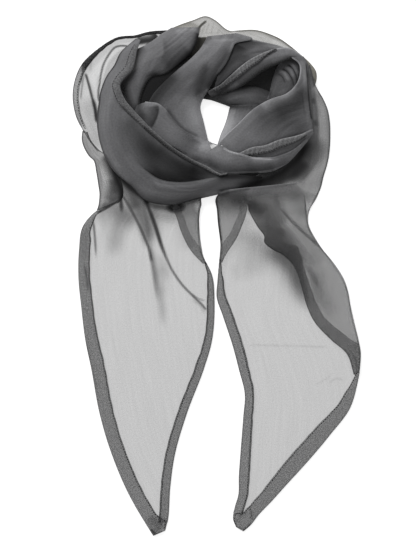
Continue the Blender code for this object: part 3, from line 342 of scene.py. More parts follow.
LEFT_TAIL_CREASES_AND_SHADING = (
    ((-88.3, 75.8, -82.8, 67.4, -77.2, 57.2, -72.5, 47.9, -67.9, 37.6, -63.2, 25.5, -60.4, 12.5), 0.25, 3.0, -0.35,
      0.9, 0.9, 0.07),
    ((-67.9, 41.3, -63.2, 28.3, -60.8, 15.3, -58.6, 2.3, -56.7, -12.6, -54.9, -27.5), 0, 1.7, -0.1, 3.0, 1.4, 0.4),
    ((-54.9, 13.4, -53, -3.3, -51.1, -21.9), 0.4, 0.35, 0, 5.0, 5.0, 0.3),
    ((-54.9, -3.3, -52.1, -25.6, -50.2, -49.8), 0.4, 0.5, 0, 4, 3, 0.4),
    ((-56.7, 24.6, -51.1, 9.7, -43.7, -7), 0.3, 0.35, 0, 6, 4, 0.4),
    ((-67, 73, -64.7, 66.5, -61.6, 59, -58, 49.7, -54.9, 39.5, -51.3, 28.3, -47.1, 17.2, -42.2, 6.9, -36.3, -2.4,
      -30.7, -9.6, -24.6, -15.7, -18.7, -21.6, -13.7, -26.6, -9.8, -31.6), 0.25, 2.6, -0.35, 0.75, 0.85, 0.03),
    ((-69.7, 80.4, -65.6, 69.2, -61.9, 59, -58.2, 48.8, -54.9, 38.6, -51.1, 26.5, -45.6, 13.4), 0.3, 3.2, -0.35,
      1.6, 1.4, 0.3, 2.4),
    ((-25.1, -15.4, -17.7, -20.5, -10.2, -22.8), 0.2, 1.1, 0, 0.8, 0.8, 0.3),
    ((-25.1, -20, -15.8, -26.6, -10.2, -36.8), 0.3, 0.35, 0, 1.5, 1.5, 0.3),
    ((-68.8, 71.1, -66.5, 58.1, -64.6, 43.2, -62.8, 28.3), 0.5, 0.6, -0.1, 1.6, 1.0, 0.2),
    ((-92.1, 108.3, -80.9, 87.8, -73.5, 71.1, -68.8, 56.2, -65.1, 41.3, -62.3, 24.6), 0, 2.1, 0.02, 5.5, 6.0, 0.24,
      3),
    ((-69.7, 84.1, -63.2, 67.4, -58.6, 48.8, -54.9, 30.2), 0, 0.8, 0, 5, 5, 0.3),
    ((-93.9, 91.6, -86.5, 80.4, -80, 70.2, -75.3, 59.9), 0, 1.9, -0.22, 8, 4.0, 0.2, 3),
    ((-97.6, 68.3, -89.3, 63.7, -80.9, 56.2), 0, 1.0, 0, 8, 9, 0),
    ((-114.4, 55.3, -101.4, 58.1, -86.5, 58.1, -71.6, 50.6), 0, 0.5, 0, 8, 14, 0.2),
    ((-97.6, 106.4, -92.1, 95.3, -84.6, 86.4, -77.2, 79.9, -69.7, 74.4, -62.3, 68.3), 0, 6, -0.72, 2.0, 2.4, 0.06),
    ((-89.5, 74.8, -88.9, 68.3, -88.3, 58.1), 0.4, 5, -0.6, 1.1, 1.1, 0.35),
    ((-88.3, 67.4, -92.1, 46.9, -97.6, 15.3), 0.3, 0.6, 0, 7, 6, 0.3),
    ((-105.1, 50.6, -101.4, 33.9, -97.6, 13.4), 0.5, 0.1, 0, 7, 7, 0.4),
    ((-115.8, 54.4, -114.4, 45.1, -113.3, 32, -112.5, 15.3), 0.2, 2.4, -0.3, 0.9, 0.8, 0.3),
    ((-65.1, 69.2, -58.6, 66, -50.2, 64.6, -41.8, 63.7), 0, 3.0, -0.45, 4, 3.0, 0),
    ((-47.4, 68.3, -40.9, 65.1, -35.3, 65.5, -28.8, 69.2), 0, 9, -0.85, 3.5, 4.6, 0.4, 3),
    ((-38.1, 67.4, -26, 69.8, -13, 73.4), 0, 3, -0.5, 2.0, 3.2, 0.03),
    ((-62.3, 61.8, -53, 58.1, -41.8, 57.2, -30.7, 59.9, -17.7, 63.7), 0, 1.0, -0.1, 9, 7, 0.1),
    ((-110.7, 59.5, -103.2, 63.2, -95.8, 67.8, -89.3, 72.5), 0.4, 3.4, -0.45, 0.9, 0.9, 0.08),
    ((-28.8, 57.2, -27, 38.6, -21.4, 22.7), 0, 0.4, 0, 8, 8, 0.3),
)
LEFT_TAIL_END_HEM_CREASES_AND_SHADING = (
    ((-123.7, 13.4, -120.9, -1.4, -119, -16.3), 0, 1.4, -0.2, 1.2, 1.2, 0.3),
    ((-125.5, -42.4, -116.2, -85.1, -108.8, -114.9), 0, 0.6, -0.1, 1.2, 1.2, 0.3),
    ((-121.8, 47.9, -123.7, 29.2, -123.7, 13.4), 0, 0.3, -0.08, 5, 5, 0.3),
    ((-62.3, -234.9, -56.7, -239.5, -50.2, -237.7), 0, 3, -0.45, 1.5, 1.5, 0.1),
    ((-53.9, -220, -53, -226.5, -51.1, -233), 0, 1.5, -0.3, 0.9, 0.9, 0.2),
    ((-62.3, -222.8, -56.7, -230.2, -53, -235.8), 0, 1, -0.15, 5, 5, 0.1),
)
LEFT_DRAPE_CREASES_AND_SHADING = (
    ((-101.4, 113.9, -96.7, 101.8, -92.1, 89.7, -88.7, 80.4, -88.7, 69.2), 0, 8, -0.8, 2.0, 2.6, 0.04),
    ((-105.1, 113.9, -98.6, 100.9, -93.9, 87.8, -92.1, 74.8), 0, 2.4, -0.3, 5, 4.6, 0.14),
    ((-109.3, 104.6, -106, 93.4, -100.4, 80.4), 0.3, -0.4, 0.7, 0.6, 0.6, 0.25),
    ((-106.9, 102.7, -103.2, 91.6, -97.6, 80.4), 0.3, -0.3, 0.55, 0.5, 0.5, 0.25),
    ((-110.7, 108.3, -107.9, 95.3, -106, 78.5), 0.3, 0.5, -0.1, 0.8, 0.8, 0.3),
    ((-88.3, 76.7, -97.6, 68.3, -105.1, 64.6, -111.6, 60.9), 0, 0.8, -0.1, 2.5, 2.5, 0.15),
    ((-91.1, 76.7, -95.8, 70.2, -102.3, 65.5), 0, 1.6, -0.15, 4, 4, 0),
    ((-95.8, 91.6, -96.7, 80.4, -100.4, 68.3), 0, 2.0, -0.2, 5, 5, 0.2),
    ((-121.8, 129.7, -120, 120.4, -114.4, 112), 0, 0.15, 0, 4, 4, 0.3),
)
LEFT_TAIL_TURNBACK_CREASES_AND_SHADING = (
    ((-17.7, 65.5, -17.2, 52.5, -16.7, 37.6), 0, 0.6, 0, 4, 4, 0.3),
)
TOP_INNER_BAND_CREASES_AND_SHADING = (
    ((-10.2, 170.6, 4.7, 173.4, 19.5, 177.1, 36.3, 179, 51.2, 173.4), 0, 4, -0.9, 5, 6.5, 0, 2.4),
    ((4.7, 165, 21.4, 166.9, 41.9, 166), 0.5, 0, 0.5, 4, 4, 0.3),
    ((-12.1, 165, 4.7, 160.8, 15.8, 157.1, 27, 155.7, 38.1, 156.7), 0, 4, -0.7, 3.5, 3, 0),
)
HOLE_RIGHT_STRAND_CREASES_AND_SHADING = (
    ((13, 157.6, 10.2, 147.4, 6.5, 136.2, 1.9, 124.1), 0, 0, 0.45, 6, 3, 0.1),
    ((11.2, 154.8, 23.3, 152.9, 36.3, 152.9), 0, 0, -0.4, 9, 9, 0),
    ((12.1, 158.1, 23.3, 157.1, 36.3, 157.1), 0, 1, -0.66, 3, 3, 0),
    ((17.7, 147.4, 14, 138.1, 10.2, 128.8), 0.4, 0, 0.15, 1.5, 1.5, 0.3),
)
RIGHT_LOOP_INSIDE_CREASES_AND_SHADING = (
    ((56.7, 190.1, 62.3, 187.4, 67, 179.9), 0.8, 0, 0.9, 1.2, 1.2, 0.15),
    ((62.3, 194.3, 67.9, 190.1, 71.6, 182.7), 0.8, 0, 0.8, 1.1, 1.1, 0.15),
    ((67, 197.6, 71.6, 192.9, 74.9, 185.5), 0.6, 0, 0.6, 0.9, 0.9, 0.2),
    ((59.5, 192, 65.1, 188.7, 69.8, 180.8, 70.7, 174.3), -0.8, 1, -0.75, 1.0, 1.0, 0.15),
    ((64.2, 196.7, 69.8, 192, 73.5, 183.6, 73.5, 175.3), -0.8, 1, -0.75, 0.9, 0.9, 0.15),
    ((55.8, 187.4, 60.5, 184.1, 63.2, 177.1), -0.5, 1, -0.6, 0.9, 0.9, 0.2),
    ((58.6, 197.6, 66, 199.9, 74.4, 197.6, 76.7, 188.3), 0, 1, -0.5, 2.2, 2.2, 0.1),
    ((60.5, 173.4, 62.3, 168.8, 62.3, 164.1), 0, 0, 0.3, 4, 4, 0.2),
    ((52.1, 190.1, 50.2, 179, 47.4, 166), 0, 1, -0.5, 2.0, 2.0, 0.1),
)
LEFT_STRAND_CREASES_AND_SHADING = (
    ((-17.2, 225.5, -20.4, 213.4, -26, 204.1, -36.3, 194.8, -47.4, 187.4, -60.4, 183.6, -67, 173.4, -70.7, 160.4,
      -73.5, 151.1), -0.6, 2, -0.85, 2, 3.4, 0.02, 2.0),
    ((-23.2, 208.7, -30.7, 203.2, -40, 197.6, -51.1, 192), -0.6, 0, -0.5, 6, 9, 0.2),
    ((-53, 188.3, -62.3, 179.9, -67, 171.5, -70.7, 158.5), 0, 0, -0.6, 2, 4.5, 0.12),
    ((-40, 225.5, -28.8, 227.8, -17.7, 229.2), 0, 0, 0.45, 2.5, 2.5, 0.2),
    ((-43.7, 223.6, -34.4, 223.6, -25.1, 223.6), 0, 0, 0.1, 6, 6, 0.3),
    ((-69.7, 214.3, -75.3, 203.2, -80, 189.2, -86.5, 176.2, -81.8, 161.3, -74.4, 151.1), -0.6, 0, -0.66, 5.0, 8,
      0.04, 2.4),
    ((-59.5, 212.5, -65.1, 199.4, -69.7, 184.6, -72.5, 171.5), 0.6, 0, 0.15, 4, 4, 0.2),
    ((-49.7, 221.8, -48.8, 208.7, -53, 197.6, -62.3, 188.3), 0.4, 0, -0.25, 5, 0.7, 0.2),
    ((-56.7, 222.7, -62.3, 218, -66, 214.3), 0.7, 0, -0.2, 3, 3, 0.3),
)
TOP_RIGHT_BACK_CREASES_AND_SHADING = (
    ((17.7, 215.3, 13, 206, 8.4, 196.7, 1.9, 186.4, -6.5, 174.3), 0, 3, -0.72, 11, 4, 0.02, 2.6),
    ((21.4, 215.3, 25.1, 208.7, 24.2, 201.3), 0, 1, -0.42, 7, 7, 0),
    ((-4.6, 214.3, 14, 216.2, 27, 217.1, 41.9, 215.3, 60.5, 211.5), 0, 3, -0.66, 0.7, 7, 0.4),
    ((15.8, 216.6, 23.3, 217.3, 32.6, 218.8), 0, 2, -0.7, 0.7, 1.4, 0.2),
    ((30.7, 211.5, 47.4, 211.5, 66, 206.9), 0.6, 0, 0.2, 2.0, 3.5, 0.2),
    ((28.8, 205, 41.9, 206.9, 54.9, 208.7), -0.6, 0, -0.2, 1.2, 1.2, 0.3),
    ((19.5, 201.3, 30.7, 206.9, 41.9, 209.7), 0.4, 0, 0.12, 2.0, 2.0, 0.3),
)
TOP_RIGHT_BAND_CREASES_AND_SHADING = (
    ((36.3, 199.4, 45.6, 204.1, 56.7, 206.9, 67.9, 206), 0, 0, 0.55, 5, 5, 0.3),
    ((-10.2, 169.7, 0.9, 172.5, 14, 176.2), 0, 1.5, -0.55, 5, 5, 0.2),
    ((17.7, 177.1, 28.8, 184.6, 40, 192, 53, 197.6), 0, 0, -0.35, 2.5, 3.5, 0.1),
    ((60.5, 207.8, 69.8, 206.9, 78.1, 201.3, 80.9, 193.9), 0.4, 0, 0.45, 3, 3, 0.2),
    ((66, 201.3, 73.5, 199.4, 77.2, 193.9), 0, 0, -0.5, 1.5, 1.5, 0.1),
)
TOP_RIGHT_HEM_CREASES_AND_SHADING = (
    ((-12.1, 169.7, 0.9, 176.2, 10.2, 184.6, 19.5, 191.1), 0, 0, -0.4, 8, 8, 0.3),
)
RIGHT_LOOP_CREASES_AND_SHADING = (
    ((77.2, 166, 71.6, 158.5, 60.5, 152.9), -0.8, 2, -0.66, 10, 11, 0, 2.6),
    ((41.9, 147.4, 58.6, 142.7, 75.3, 139), 0, 0, -0.34, 8, 7, 0),
    ((40, 155.7, 49.3, 160.4, 58.6, 163.6, 67, 167.8, 73.5, 175.3), 0, 0, 0.5, 3, 4.5, 0.1),
    ((8.4, 126, 25.1, 129.7, 41.9, 124.1), 0, 0, 0.18, 8, 8, 0),
    ((77.2, 199.4, 78.6, 188.3, 78.1, 177.1, 74.4, 169.7), 0.5, 0, 0.35, 3, 2, 0.1),
    ((36.3, 151.1, 27, 141.8, 17.7, 130.6, 8.4, 121.3), 0.8, 0, 0.2, 8, 6, 0.1),
    ((54.9, 162.2, 64.2, 166, 71.6, 171.5, 74.4, 179), 0, 0, 0.2, 2.5, 2.5, 0.3),
    ((49.3, 158.5, 41.9, 154.8, 34.4, 147.4), 0, 0, 0.12, 4, 4, 0.3),
    ((81.5, 197.6, 82.8, 182.7, 83.5, 169.7, 85.2, 154.8, 86.9, 143.6), -0.4, 2, -0.8, 0.8, 0.8, 0.06),
    ((78.1, 195.7, 80, 180.8, 80, 166, 81.9, 149.2), 0.3, 0, 0.25, 1.4, 1.4, 0.2),
    ((77.2, 173.4, 79.1, 160.4, 80.9, 145.5), 0, 0, -0.2, 0.8, 0.8, 0.3),
    ((14, 113.9, 27, 115.7, 41.9, 121.3, 60.5, 126.9, 79.1, 132.5), 0, 0.5, -0.2, 2.5, 3, 0.1),
    ((38.1, 139.9, 49.3, 134.3, 62.3, 132.5), 0, 0, -0.1, 8, 8, 0.3),
    ((25.1, 134.3, 32.6, 126.9, 38.1, 121.3), 0.3, 0, 0.08, 4, 4, 0.3),
)
INNER_LEFT_STRAND_CREASES_AND_SHADING = (
    ((11.2, 226.4, 2.8, 213.4, -8.4, 201.3, -23.2, 184.6), 0.6, 0, 0.36, 9, 11, 0.22),
    ((-13, 213.4, -9.8, 219, -3.7, 221.8), 0, 1, -0.4, 2, 4, 0.2),
    ((15.8, 212.5, 10.2, 201.3, 2.8, 190.1, -5.6, 179, -13, 168.8), 0, 1, -0.6, 2, 8, 0.2),
    ((-10.2, 190.1, -13.9, 180.8, -16.7, 172.5), -1.6, 2, -0.6, 5, 6, 0),
    ((-18.6, 158.5, -16.7, 147.4, -13.9, 136.2, -10.2, 126.9), 0.6, 4, 0.6, 5, 9, 0),
    ((-41.8, 169.7, -32.5, 162.2, -25.1, 151.1, -18.6, 134.3), 0.4, 0, 0.22, 12, 10, 0.15),
    ((-43.7, 182.7, -52.1, 173.4, -60.4, 162.2), 0, 2, -0.82, 10, 4, 0),
    ((-47, 155.3, -41.1, 147.8, -34.4, 139.5, -27, 133.6, -14.9, 128.2), -0.4, 0, -0.45, 1.6, 1.6, 0.12),
    ((1.4, 121.3, -5.6, 117.2), 0, -4.7, 0.1, 0.4, 6, 0.08, 6),
    ((0.9, 120.8, -7, 116.1), 0, 2, -0.3, 0.5, 0.5, 0.1),
    ((4.5, 119.6, 11.6, 115.2, 21.4, 112.6, 32.1, 109.2, 43.3, 108.3, 52.6, 108.3), 0.2, 0, 1.3, 0.6, 0.7, 0.1),
    ((21.4, 105.5, 36.3, 100.9, 54.9, 102.7, 67.9, 110.2), -0.4, 1, -0.3, 3, 5, 0.2),
    ((30.7, 108.3, 43.7, 107.4, 58.6, 109.2), 0, 0, 0.3, 2, 4, 0.2),
    ((-12.1, 100.9, 0.9, 96.2, 21.4, 96.7, 41.9, 98.1, 54.9, 100.9), 0, 1, -0.45, 4.5, 3, 0.1),
    ((-38.1, 134.3, -27, 125, -15.8, 118.5), 0, 0, 0.25, 9, 9, 0),
    ((-12.1, 110.2, -0.9, 102.7, 17.7, 98.1, 41.9, 98.1), 0, 1, -0.35, 4, 4, 0.15),
    ((41.9, 112, 54.9, 114.8, 69.8, 118.5, 79.1, 124.1), 0.3, 0, 0.15, 2.5, 2.5, 0.2),
    ((-19.5, 117.6, -8.4, 116.7, 4.7, 111.1, 17.7, 107.4), 0.3, 0, 0.3, 6, 5, 0.2),
    ((-25.1, 112, -10.2, 105.5, 4.7, 98.1), 0, 1, -0.35, 3, 2.5, 0.2),
)
INNER_LEFT_FOLD_CREASES_AND_SHADING = (
    ((-54.4, 158.5, -53.9, 152, -56.2, 144.6, -60.9, 135.3), -0.6, 0, -0.6, 0.8, 9, 0.12, 3),
    ((-72.5, 161.3, -73.5, 154.8, -68.8, 146.4), 0, 1, -0.5, 5, 4, 0),
    ((-69.7, 160.6, -62.3, 160.6, -55.8, 158.9, -51.1, 155.7), 0, 0, 0.35, 1.0, 1.0, 0.1),
    ((-47.9, 152.9, -42.8, 146, -35.8, 138.1, -27.9, 132.1, -19.5, 127.8), 0, 0, -0.32, 1.4, 1.0, 0.12),
    ((-41.8, 132.5, -30.7, 125, -19.5, 118.5), 0, 0, 0.2, 8, 8, 0),
    ((-54.4, 155.7, -54.4, 150.2, -57.1, 143.6, -61.4, 136.2), -0.3, 0, -0.45, 0.8, 1.8, 0.15),
    ((-69.7, 160.4, -70.7, 152.9, -65.1, 143.6), 0, 0, -0.25, 2.5, 3, 0.2),
    ((-67.9, 159.9, -62.3, 158.5, -56.7, 155.7), 0, 0, 0.2, 2.0, 2.0, 0.3),
)
FRONT_BAND_CREASES_AND_SHADING = (
    ((-77.2, 108.3, -64.2, 97.1, -53, 90.1, -40, 87.5, -25.1, 87.8, -8.4, 90.6, 14, 93.9), -5.5, 7, -0.84, 11, 1.3,
      0.3, 2.4),
    ((-75.3, 136.2, -62.3, 119.5, -47.4, 107.4, -27, 99.9, -2.8, 94.8), -1.0, 5, -0.66, 9, 13, 0.3),
    ((-86.5, 152.9, -75.3, 134.3, -62.3, 119.5, -45.6, 108.3), 0, 2, -0.5, 8, 13, 0.25),
    ((-54.9, 121.3, -43.7, 111.1, -30.7, 102.7, -15.8, 98.1), 0, 1, -0.42, 4, 8, 0.15),
    ((-21.4, 99, -10.2, 96.7, 0.9, 93.9), 0, 1, -0.5, 4, 4, 0),
    ((-64.2, 91.6, -53, 85.6, -40.9, 83.6, -26, 84.1, -10.2, 87.3, 8.4, 91.2), 0.2, 0, 0.55, 0.7, 2.2, 0.25),
    ((-97.6, 108.3, -86.5, 94.4, -71.6, 81.3, -53, 73.9), 0.5, 0, 0.06, 6, 6, 0.2),
    ((-97.6, 173.4, -103.2, 154.8, -105.1, 131.6), 0, 0, 0.05, 5, 5, 0.3),
    ((-86.5, 89.7, -75.3, 79.5, -66, 72, -54.9, 68.8, -41.8, 67.8, -25.1, 71.1, -2.8, 75.8), 0, 1, -0.42, 5, 3,
      0.1),
    ((-2.8, 92.5, 14, 92.5, 30.7, 93, 49.3, 92.5), 0, 6, -0.88, 7, 4, 0.15),
    ((14, 81.3, 30.7, 86, 41.9, 89.7), 0, 6, -0.55, 5, 4, 0.3),
    ((-90.2, 177.1, -93.9, 166, -97.6, 154.8), 0.4, 0, 0.1, 4, 4, 0.3),
    ((-82.8, 115.7, -77.2, 102.7, -66, 91.6), 0.5, 0, 0.12, 5, 5, 0.3),
)
FRONT_BAND_HEM_CREASES_AND_SHADING = (
    ((-91.1, 175.3, -86.5, 160.4, -77.2, 149.2, -66, 136.2), 0, 0, -0.12, 8, 8, 0.2),
    ((-89.3, 159.5, -83.7, 152.5, -76.2, 144.1, -66, 133.9), 0, 1, -0.6, 1.5, 1.5, 0.3),
    ((-71.6, 139, -62.3, 130.6, -45.6, 117.1, -27, 105, -4.6, 93.4), 0, 1, -0.8, 3.2, 4, 0.15, 4),
)
RIGHT_TAIL_CREASES_AND_SHADING = (
    ((0.9, 77.2, 10.2, 79.8, 18.6, 81.6, 28.8, 83, 42.3, 84.2, 54.6, 85.5, 65.9, 86.5, 74.4, 87.3), 0.4, 8, 3.0,
      0.8, 0.9, 0.05),
    ((-4.6, 74.8, 16.8, 80.4, 35.3, 82.3, 53.9, 82.3, 88.4, 82.3), 0, 1.6, 0.3, 5, 8, 0.3),
    ((-4.6, 71.1, 21.4, 74.8, 41.9, 73.9, 58.6, 73, 86.5, 76.7), 0, 1.0, 0.1, 9, 9, 0.4),
    ((-2.8, 80.4, -0.9, 71.1, 0.5, 59.9, 1.9, 45.1, 3.3, 32), 0, 4, -0.5, 1.3, 0.9, 0.05),
    ((-2.8, 82.3, 3.7, 79.5, 12.1, 79.5), 0, 5, -0.45, 4, 3.5, 0.1),
    ((-0.9, 68.3, 12.1, 66.5, 27, 67.4), 0, 1.2, -0.1, 6, 10, 0.2),
    ((17.7, 72, 27, 68.3, 32.6, 65.5), 0, 2.2, -0.15, 6, 6, 0),
    ((32.6, 80.4, 43.7, 81.3, 58.6, 82.3, 73.5, 83.2), 0, 1.6, 1.2, 3, 7, 0),
    ((25.1, 46.9, 27, 28.3, 30.7, 13.4, 34.4, -7), 0, 0.35, 0, 16, 14, 0.3),
    ((76.3, 82.3, 81.9, 71.1, 82.8, 50.6), 0, 0.8, 0, 9, 14, 0.25),
    ((80.9, 86.9, 88.4, 87.8, 101.4, 89.7), 0, -3.2, 0, 7, 10, 0),
    ((-0.9, 74.8, 10.2, 77.6, 27, 80.4), 0, 3.0, 0.15, 3, 7, 0),
    ((54.9, 80.4, 55.8, 71.1, 56.7, 59.9), 0.3, 0.5, -0.1, 2, 3, 0.3),
    ((69.8, 84.1, 79.1, 80.4, 90.2, 78.5), 0.3, 0.2, 0, 1.5, 1.5, 0.3),
    ((41.9, 33.9, 51.6, 24.6, 60.5, 20.1, 67.9, 13.4, 73.9, 5.1, 78.1, -5.2, 82.8, -20, 88.4, -34.9), 0.6, 2.6,
      -0.25, 4, 8, 0.3),
    ((32.6, 48.8, 38.1, 35.8, 49.3, 22.7, 62.3, 11.6, 71.6, -3.3, 80, -27.5), 0.3, 0.75, 0, 5, 11, 0.25),
    ((27, -63.8, 63.2, -64.2, 105.1, -65.6), 0.3, 0.26, -0.05, 0.7, 0.7, 0.1),
    ((14, 13.4, 17.7, 4.1, 21.4, -7), 0.3, 0.12, 0, 4, 4, 0.3),
    ((30.7, 57.2, 27, 45.1, 21.4, 30.2), 0, 0.3, 0, 8, 8, 0.3),
    ((103.2, -100, 110.7, -94.9, 119.1, -97.2), 0.3, 0.3, 0, 0.7, 0.7, 0.3),
    ((88.4, -101.9, 99.5, -96.3, 108.8, -88.9), 0.3, 0.15, 0, 0.8, 0.8, 0.3),
)
RIGHT_TAIL_END_HEM_CREASES_AND_SHADING = (
    ((14, -226.5, 17.7, -233, 23.3, -235.8), 0, 3, -0.5, 1.2, 1.2, 0.1),
    ((23.3, -235.8, 27.9, -233.9, 31.6, -229.3), 0, 2, -0.4, 1.0, 1.0, 0.2),
    ((29.8, -213.5, 31.6, -219.1, 33, -226.5), 0, 2, -0.5, 0.6, 0.6, 0.1),
    ((27.9, -214.4, 22.3, -220, 18.6, -229.3), 0, 1.5, -0.35, 0.6, 0.6, 0.1),
    ((21.4, -211.6, 24.2, -217.2, 27, -222.8), 0, 1.0, -0.3, 0.6, 0.6, 0.2),
    ((17.7, -215.3, 23.3, -222.8, 28.8, -228.4), 0, 0, 0.1, 6, 6, 0.1),
)
RIGHT_TAIL_TURNBACK_CREASES_AND_SHADING = (
    ((56.7, 65.5, 65.9, 54.5, 76.1, 44.3, 86.3, 35.1, 96.7, 25.1), 0, 1.7, -0.2, 1.6, 0.8, 0.2),
    ((60.5, 50.6, 71.6, 37.6, 82.8, 22.7, 93.9, 6), 0, 0.6, 0, 2, 9, 0.3),
    ((82.8, 11.6, 88.4, 1.4, 94.9, -12.6), 0, 1.0, -0.1, 2.2, 2.2, 0.35),
    ((30.7, 80.4, 40.9, 64.6, 50.2, 48.8, 59.5, 32, 69.8, 13.4, 77.2, -3.3), 0, 2.4, -0.1, 10, 15, 0.24, 3),
    ((54.9, 74.8, 58.6, 61.8, 62.3, 46.9), 0, 0.9, 0, 5, 5, 0.2),
    ((66, 56.2, 78.1, 41.3, 89.3, 24.6, 97.7, 7.9), 0, 0.4, 0, 8, 7, 0.25),
    ((30.7, 71.1, 36.3, 63.7, 43.7, 56.2), 0, 1.2, -0.2, 5, 5, 0.2),
    ((46.5, 59.9, 47, 48.8, 47.4, 37.6), 0.3, 0.6, -0.15, 0.9, 0.9, 0.3),
    ((62.3, 37.6, 71.6, 22.7, 79.1, 7.9), 0.2, 0.5, -0.1, 6, 6, 0.3),
    ((80.9, 22.7, 90.2, -1.4, 98.6, -23.8, 110.7, -42.4), 0, 0.55, 0, 9, 6, 0.3),
    ((93.9, 7.9, 92.1, -12.6, 97.7, -29.3), 0.3, 0.4, 0, 6, 6, 0.3),
)
RIGHT_TAIL_TURNBACK_HEM_CREASES_AND_SHADING = (
    ((41.9, 30.2, 51.2, 25.5, 67, 15.3, 75.3, 4.1, 80.9, -10.7), 0, 0.9, 0.04, 6, 6, 0.1),
    ((125.6, -70.3, 129.3, -79.6, 130.2, -88.9), 0, 1.0, -0.2, 1.0, 1.0, 0.2),
)


class Side(Enum):
    """One of the two edges of a stretch, seen along it."""

    LEFT = "left"
    RIGHT = "right"


class Held(Enum):
    """How a stretch of cloth is held."""

    LAID = "laid"
    FOLDED = "folded"
    GATHERED = "gathered"


@dataclass(frozen=True)
class CreaseAndShading:
    """A soft ridge, trough or overlap of the cloth along a curve on the plan, and the painted shade and painted
    highlight along it.

    path holds x and y of each of its points; rise is in millimetres, and a trough's is negative; layers is
    how many layers of cloth it adds, real overlaps along a fold and painted shade where they only darken a
    hollow; its painted light lightens the cloth as a painted highlight, and darkens it as painted shade where
    it is negative; left and right are its half widths on the two sides of the path; fade is the share of its
    length that dies away at each end; flat is 2 for a bell across, and more for a flatter top with steeper
    sides.
    """

    path: tuple[float, ...]
    rise: float = 0.0
    layers: float = 0.0
    tone: float = 0.0
    left: float = 3.0
    right: float = 3.0
    fade: float = 0.25
    flat: float = 2.0

    def weight(self, points: Array) -> Array:
        """How strong the crease and its painted shading are at each point: a bell on each side of the curve, fading
        at its ends.

        Args:
            points: a grid of points, of which only the plan counts.

        Returns:
            A weight from 0 to 1 for each point.
        """
        path = np.array(self.path, float).reshape(-1, 2)
        knots = np.arange(len(path), dtype=float)
        curve = smooth_through(knots, path, np.linspace(0, knots[-1], CURVE_STEPS * len(knots)))
        start, step = curve[:-1], np.diff(curve, axis=0)
        offset = points[..., :2].reshape(-1, 1, 2) - start
        share = np.clip((offset * step).sum(axis=2) / (step**2).sum(axis=1), 0, 1)
        apart = offset - share[..., None] * step
        distance = np.hypot(apart[..., 0], apart[..., 1])
        nearest = distance.argmin(axis=1)
        row = np.arange(len(nearest))
        turn = step[nearest, 0] * apart[row, nearest, 1] - step[nearest, 1] * apart[row, nearest, 0]
        width = np.where(turn > 0, self.left, self.right)
        fade = 1.0
        if self.fade:
            along = (nearest + share[row, nearest]) / len(step)
            fade = eased(np.minimum(along, 1 - along) / self.fade)
        return (fade * np.exp(-((distance[row, nearest] / width) ** self.flat))).reshape(points.shape[:2])


@dataclass(frozen=True)
class EdgeLook:
    """Extra layers, painted highlight and painted shade along one of the cloth's edges, dying away over a width."""

    layers: float = 0.0
    tone: float = 0.0
    width: float = 1.0

    def weight(self, away: Array) -> Array:
        """How strong the look is at each distance from the edge."""
        return np.exp(-((away / self.width) ** 2))


def shaded_creases_of(rows: tuple[tuple, ...]) -> tuple[CreaseAndShading, ...]:
    """Makes a crease, with its painted shading, of each row of a table."""
    return tuple(CreaseAndShading(*row) for row in rows)


def linear(hex_colour: str) -> tuple[float, float, float]:
    """Turns an sRGB hex colour into linear light.

    Args:
        hex_colour: six hex digits, with or without a leading #.

    Returns:
        Red, green and blue from 0 to 1.
    """
    values = np.array([int(hex_colour.lstrip("#")[i : i + 2], 16) for i in (0, 2, 4)]) / 255
    low, high = values / 12.92, ((values + 0.055) / 1.055) ** 2.4
    return tuple(np.where(values <= 0.04045, low, high).tolist())


def smooth_through(knots: Array, values: Array, at: Array) -> Array:
    """A smooth curve through rows of values: cubic pieces whose slope at a row is that of the parabola
    through it and its two neighbours.

    Args:
        knots: the parameter of each row, rising.
        values: one row for each knot.
        at: parameters to read the curve at.

    Returns:
        One row for each parameter.
    """
    span = np.diff(knots)[:, None]
    slope = np.diff(values, axis=0) / span
    middle = (slope[:-1] * span[1:] + slope[1:] * span[:-1]) / (span[:-1] + span[1:])
    tangent = np.vstack([slope[:1], middle, slope[-1:]])
    piece = np.clip(np.searchsorted(knots, at, side="right") - 1, 0, len(span) - 1)
    step = span[piece]
    t = (at - knots[piece])[:, None] / step
    return (
        (1 + 2 * t) * (1 - t) ** 2 * values[piece]
        + t * (1 - t) ** 2 * step * tangent[piece]
        + t * t * (3 - 2 * t) * values[piece + 1]
        + t * t * (t - 1) * step * tangent[piece + 1]
    )


def eased(share: Array) -> Array:
    """A share that rises smoothly from 0 to 1, and is held there on both sides."""
    share = np.clip(share, 0, 1)
    return share * share * (3 - 2 * share)


def run_of(line: Array) -> Array:
    """How far along a line each of its points is."""
    return np.concatenate([[0], np.cumsum(np.linalg.norm(np.diff(line, axis=0), axis=1))])


def read_at(at: Array, run: Array, values: Array) -> Array:
    """Rows of values along a line, read at other distances along it."""
    return np.column_stack([np.interp(at, run, column) for column in values.T])


def grid_quads(rows: int, columns: int) -> Array:
    """The quads of a grid of points.

    Args:
        rows: how many rows the grid has.
        columns: how many points each row has.

    Returns:
        The four corners of each quad, counted row by row.
    """
    corner = np.arange(rows * columns).reshape(rows, columns)
    sides = (corner[:-1, :-1], corner[1:, :-1], corner[1:, 1:], corner[:-1, 1:])
    return np.column_stack([side.ravel() for side in sides])


def halves(quads: Array) -> Array:
    """Two triangles for each quad."""
    return np.vstack([quads[:, [0, 1, 2]], quads[:, [0, 2, 3]]])


def normals_of(points: Array) -> Array:
    """Unit normals of a grid, pointing up: the cross product of its two directions.

    Args:
        points: the grid.

    Returns:
        A normal for each of its points.
    """
    normal = np.cross(np.gradient(points, axis=0), np.gradient(points, axis=1))
    normal *= np.where(normal[..., 2:3] < 0, -1, 1)
    return normal / np.maximum(np.linalg.norm(normal, axis=2, keepdims=True), 1e-9)


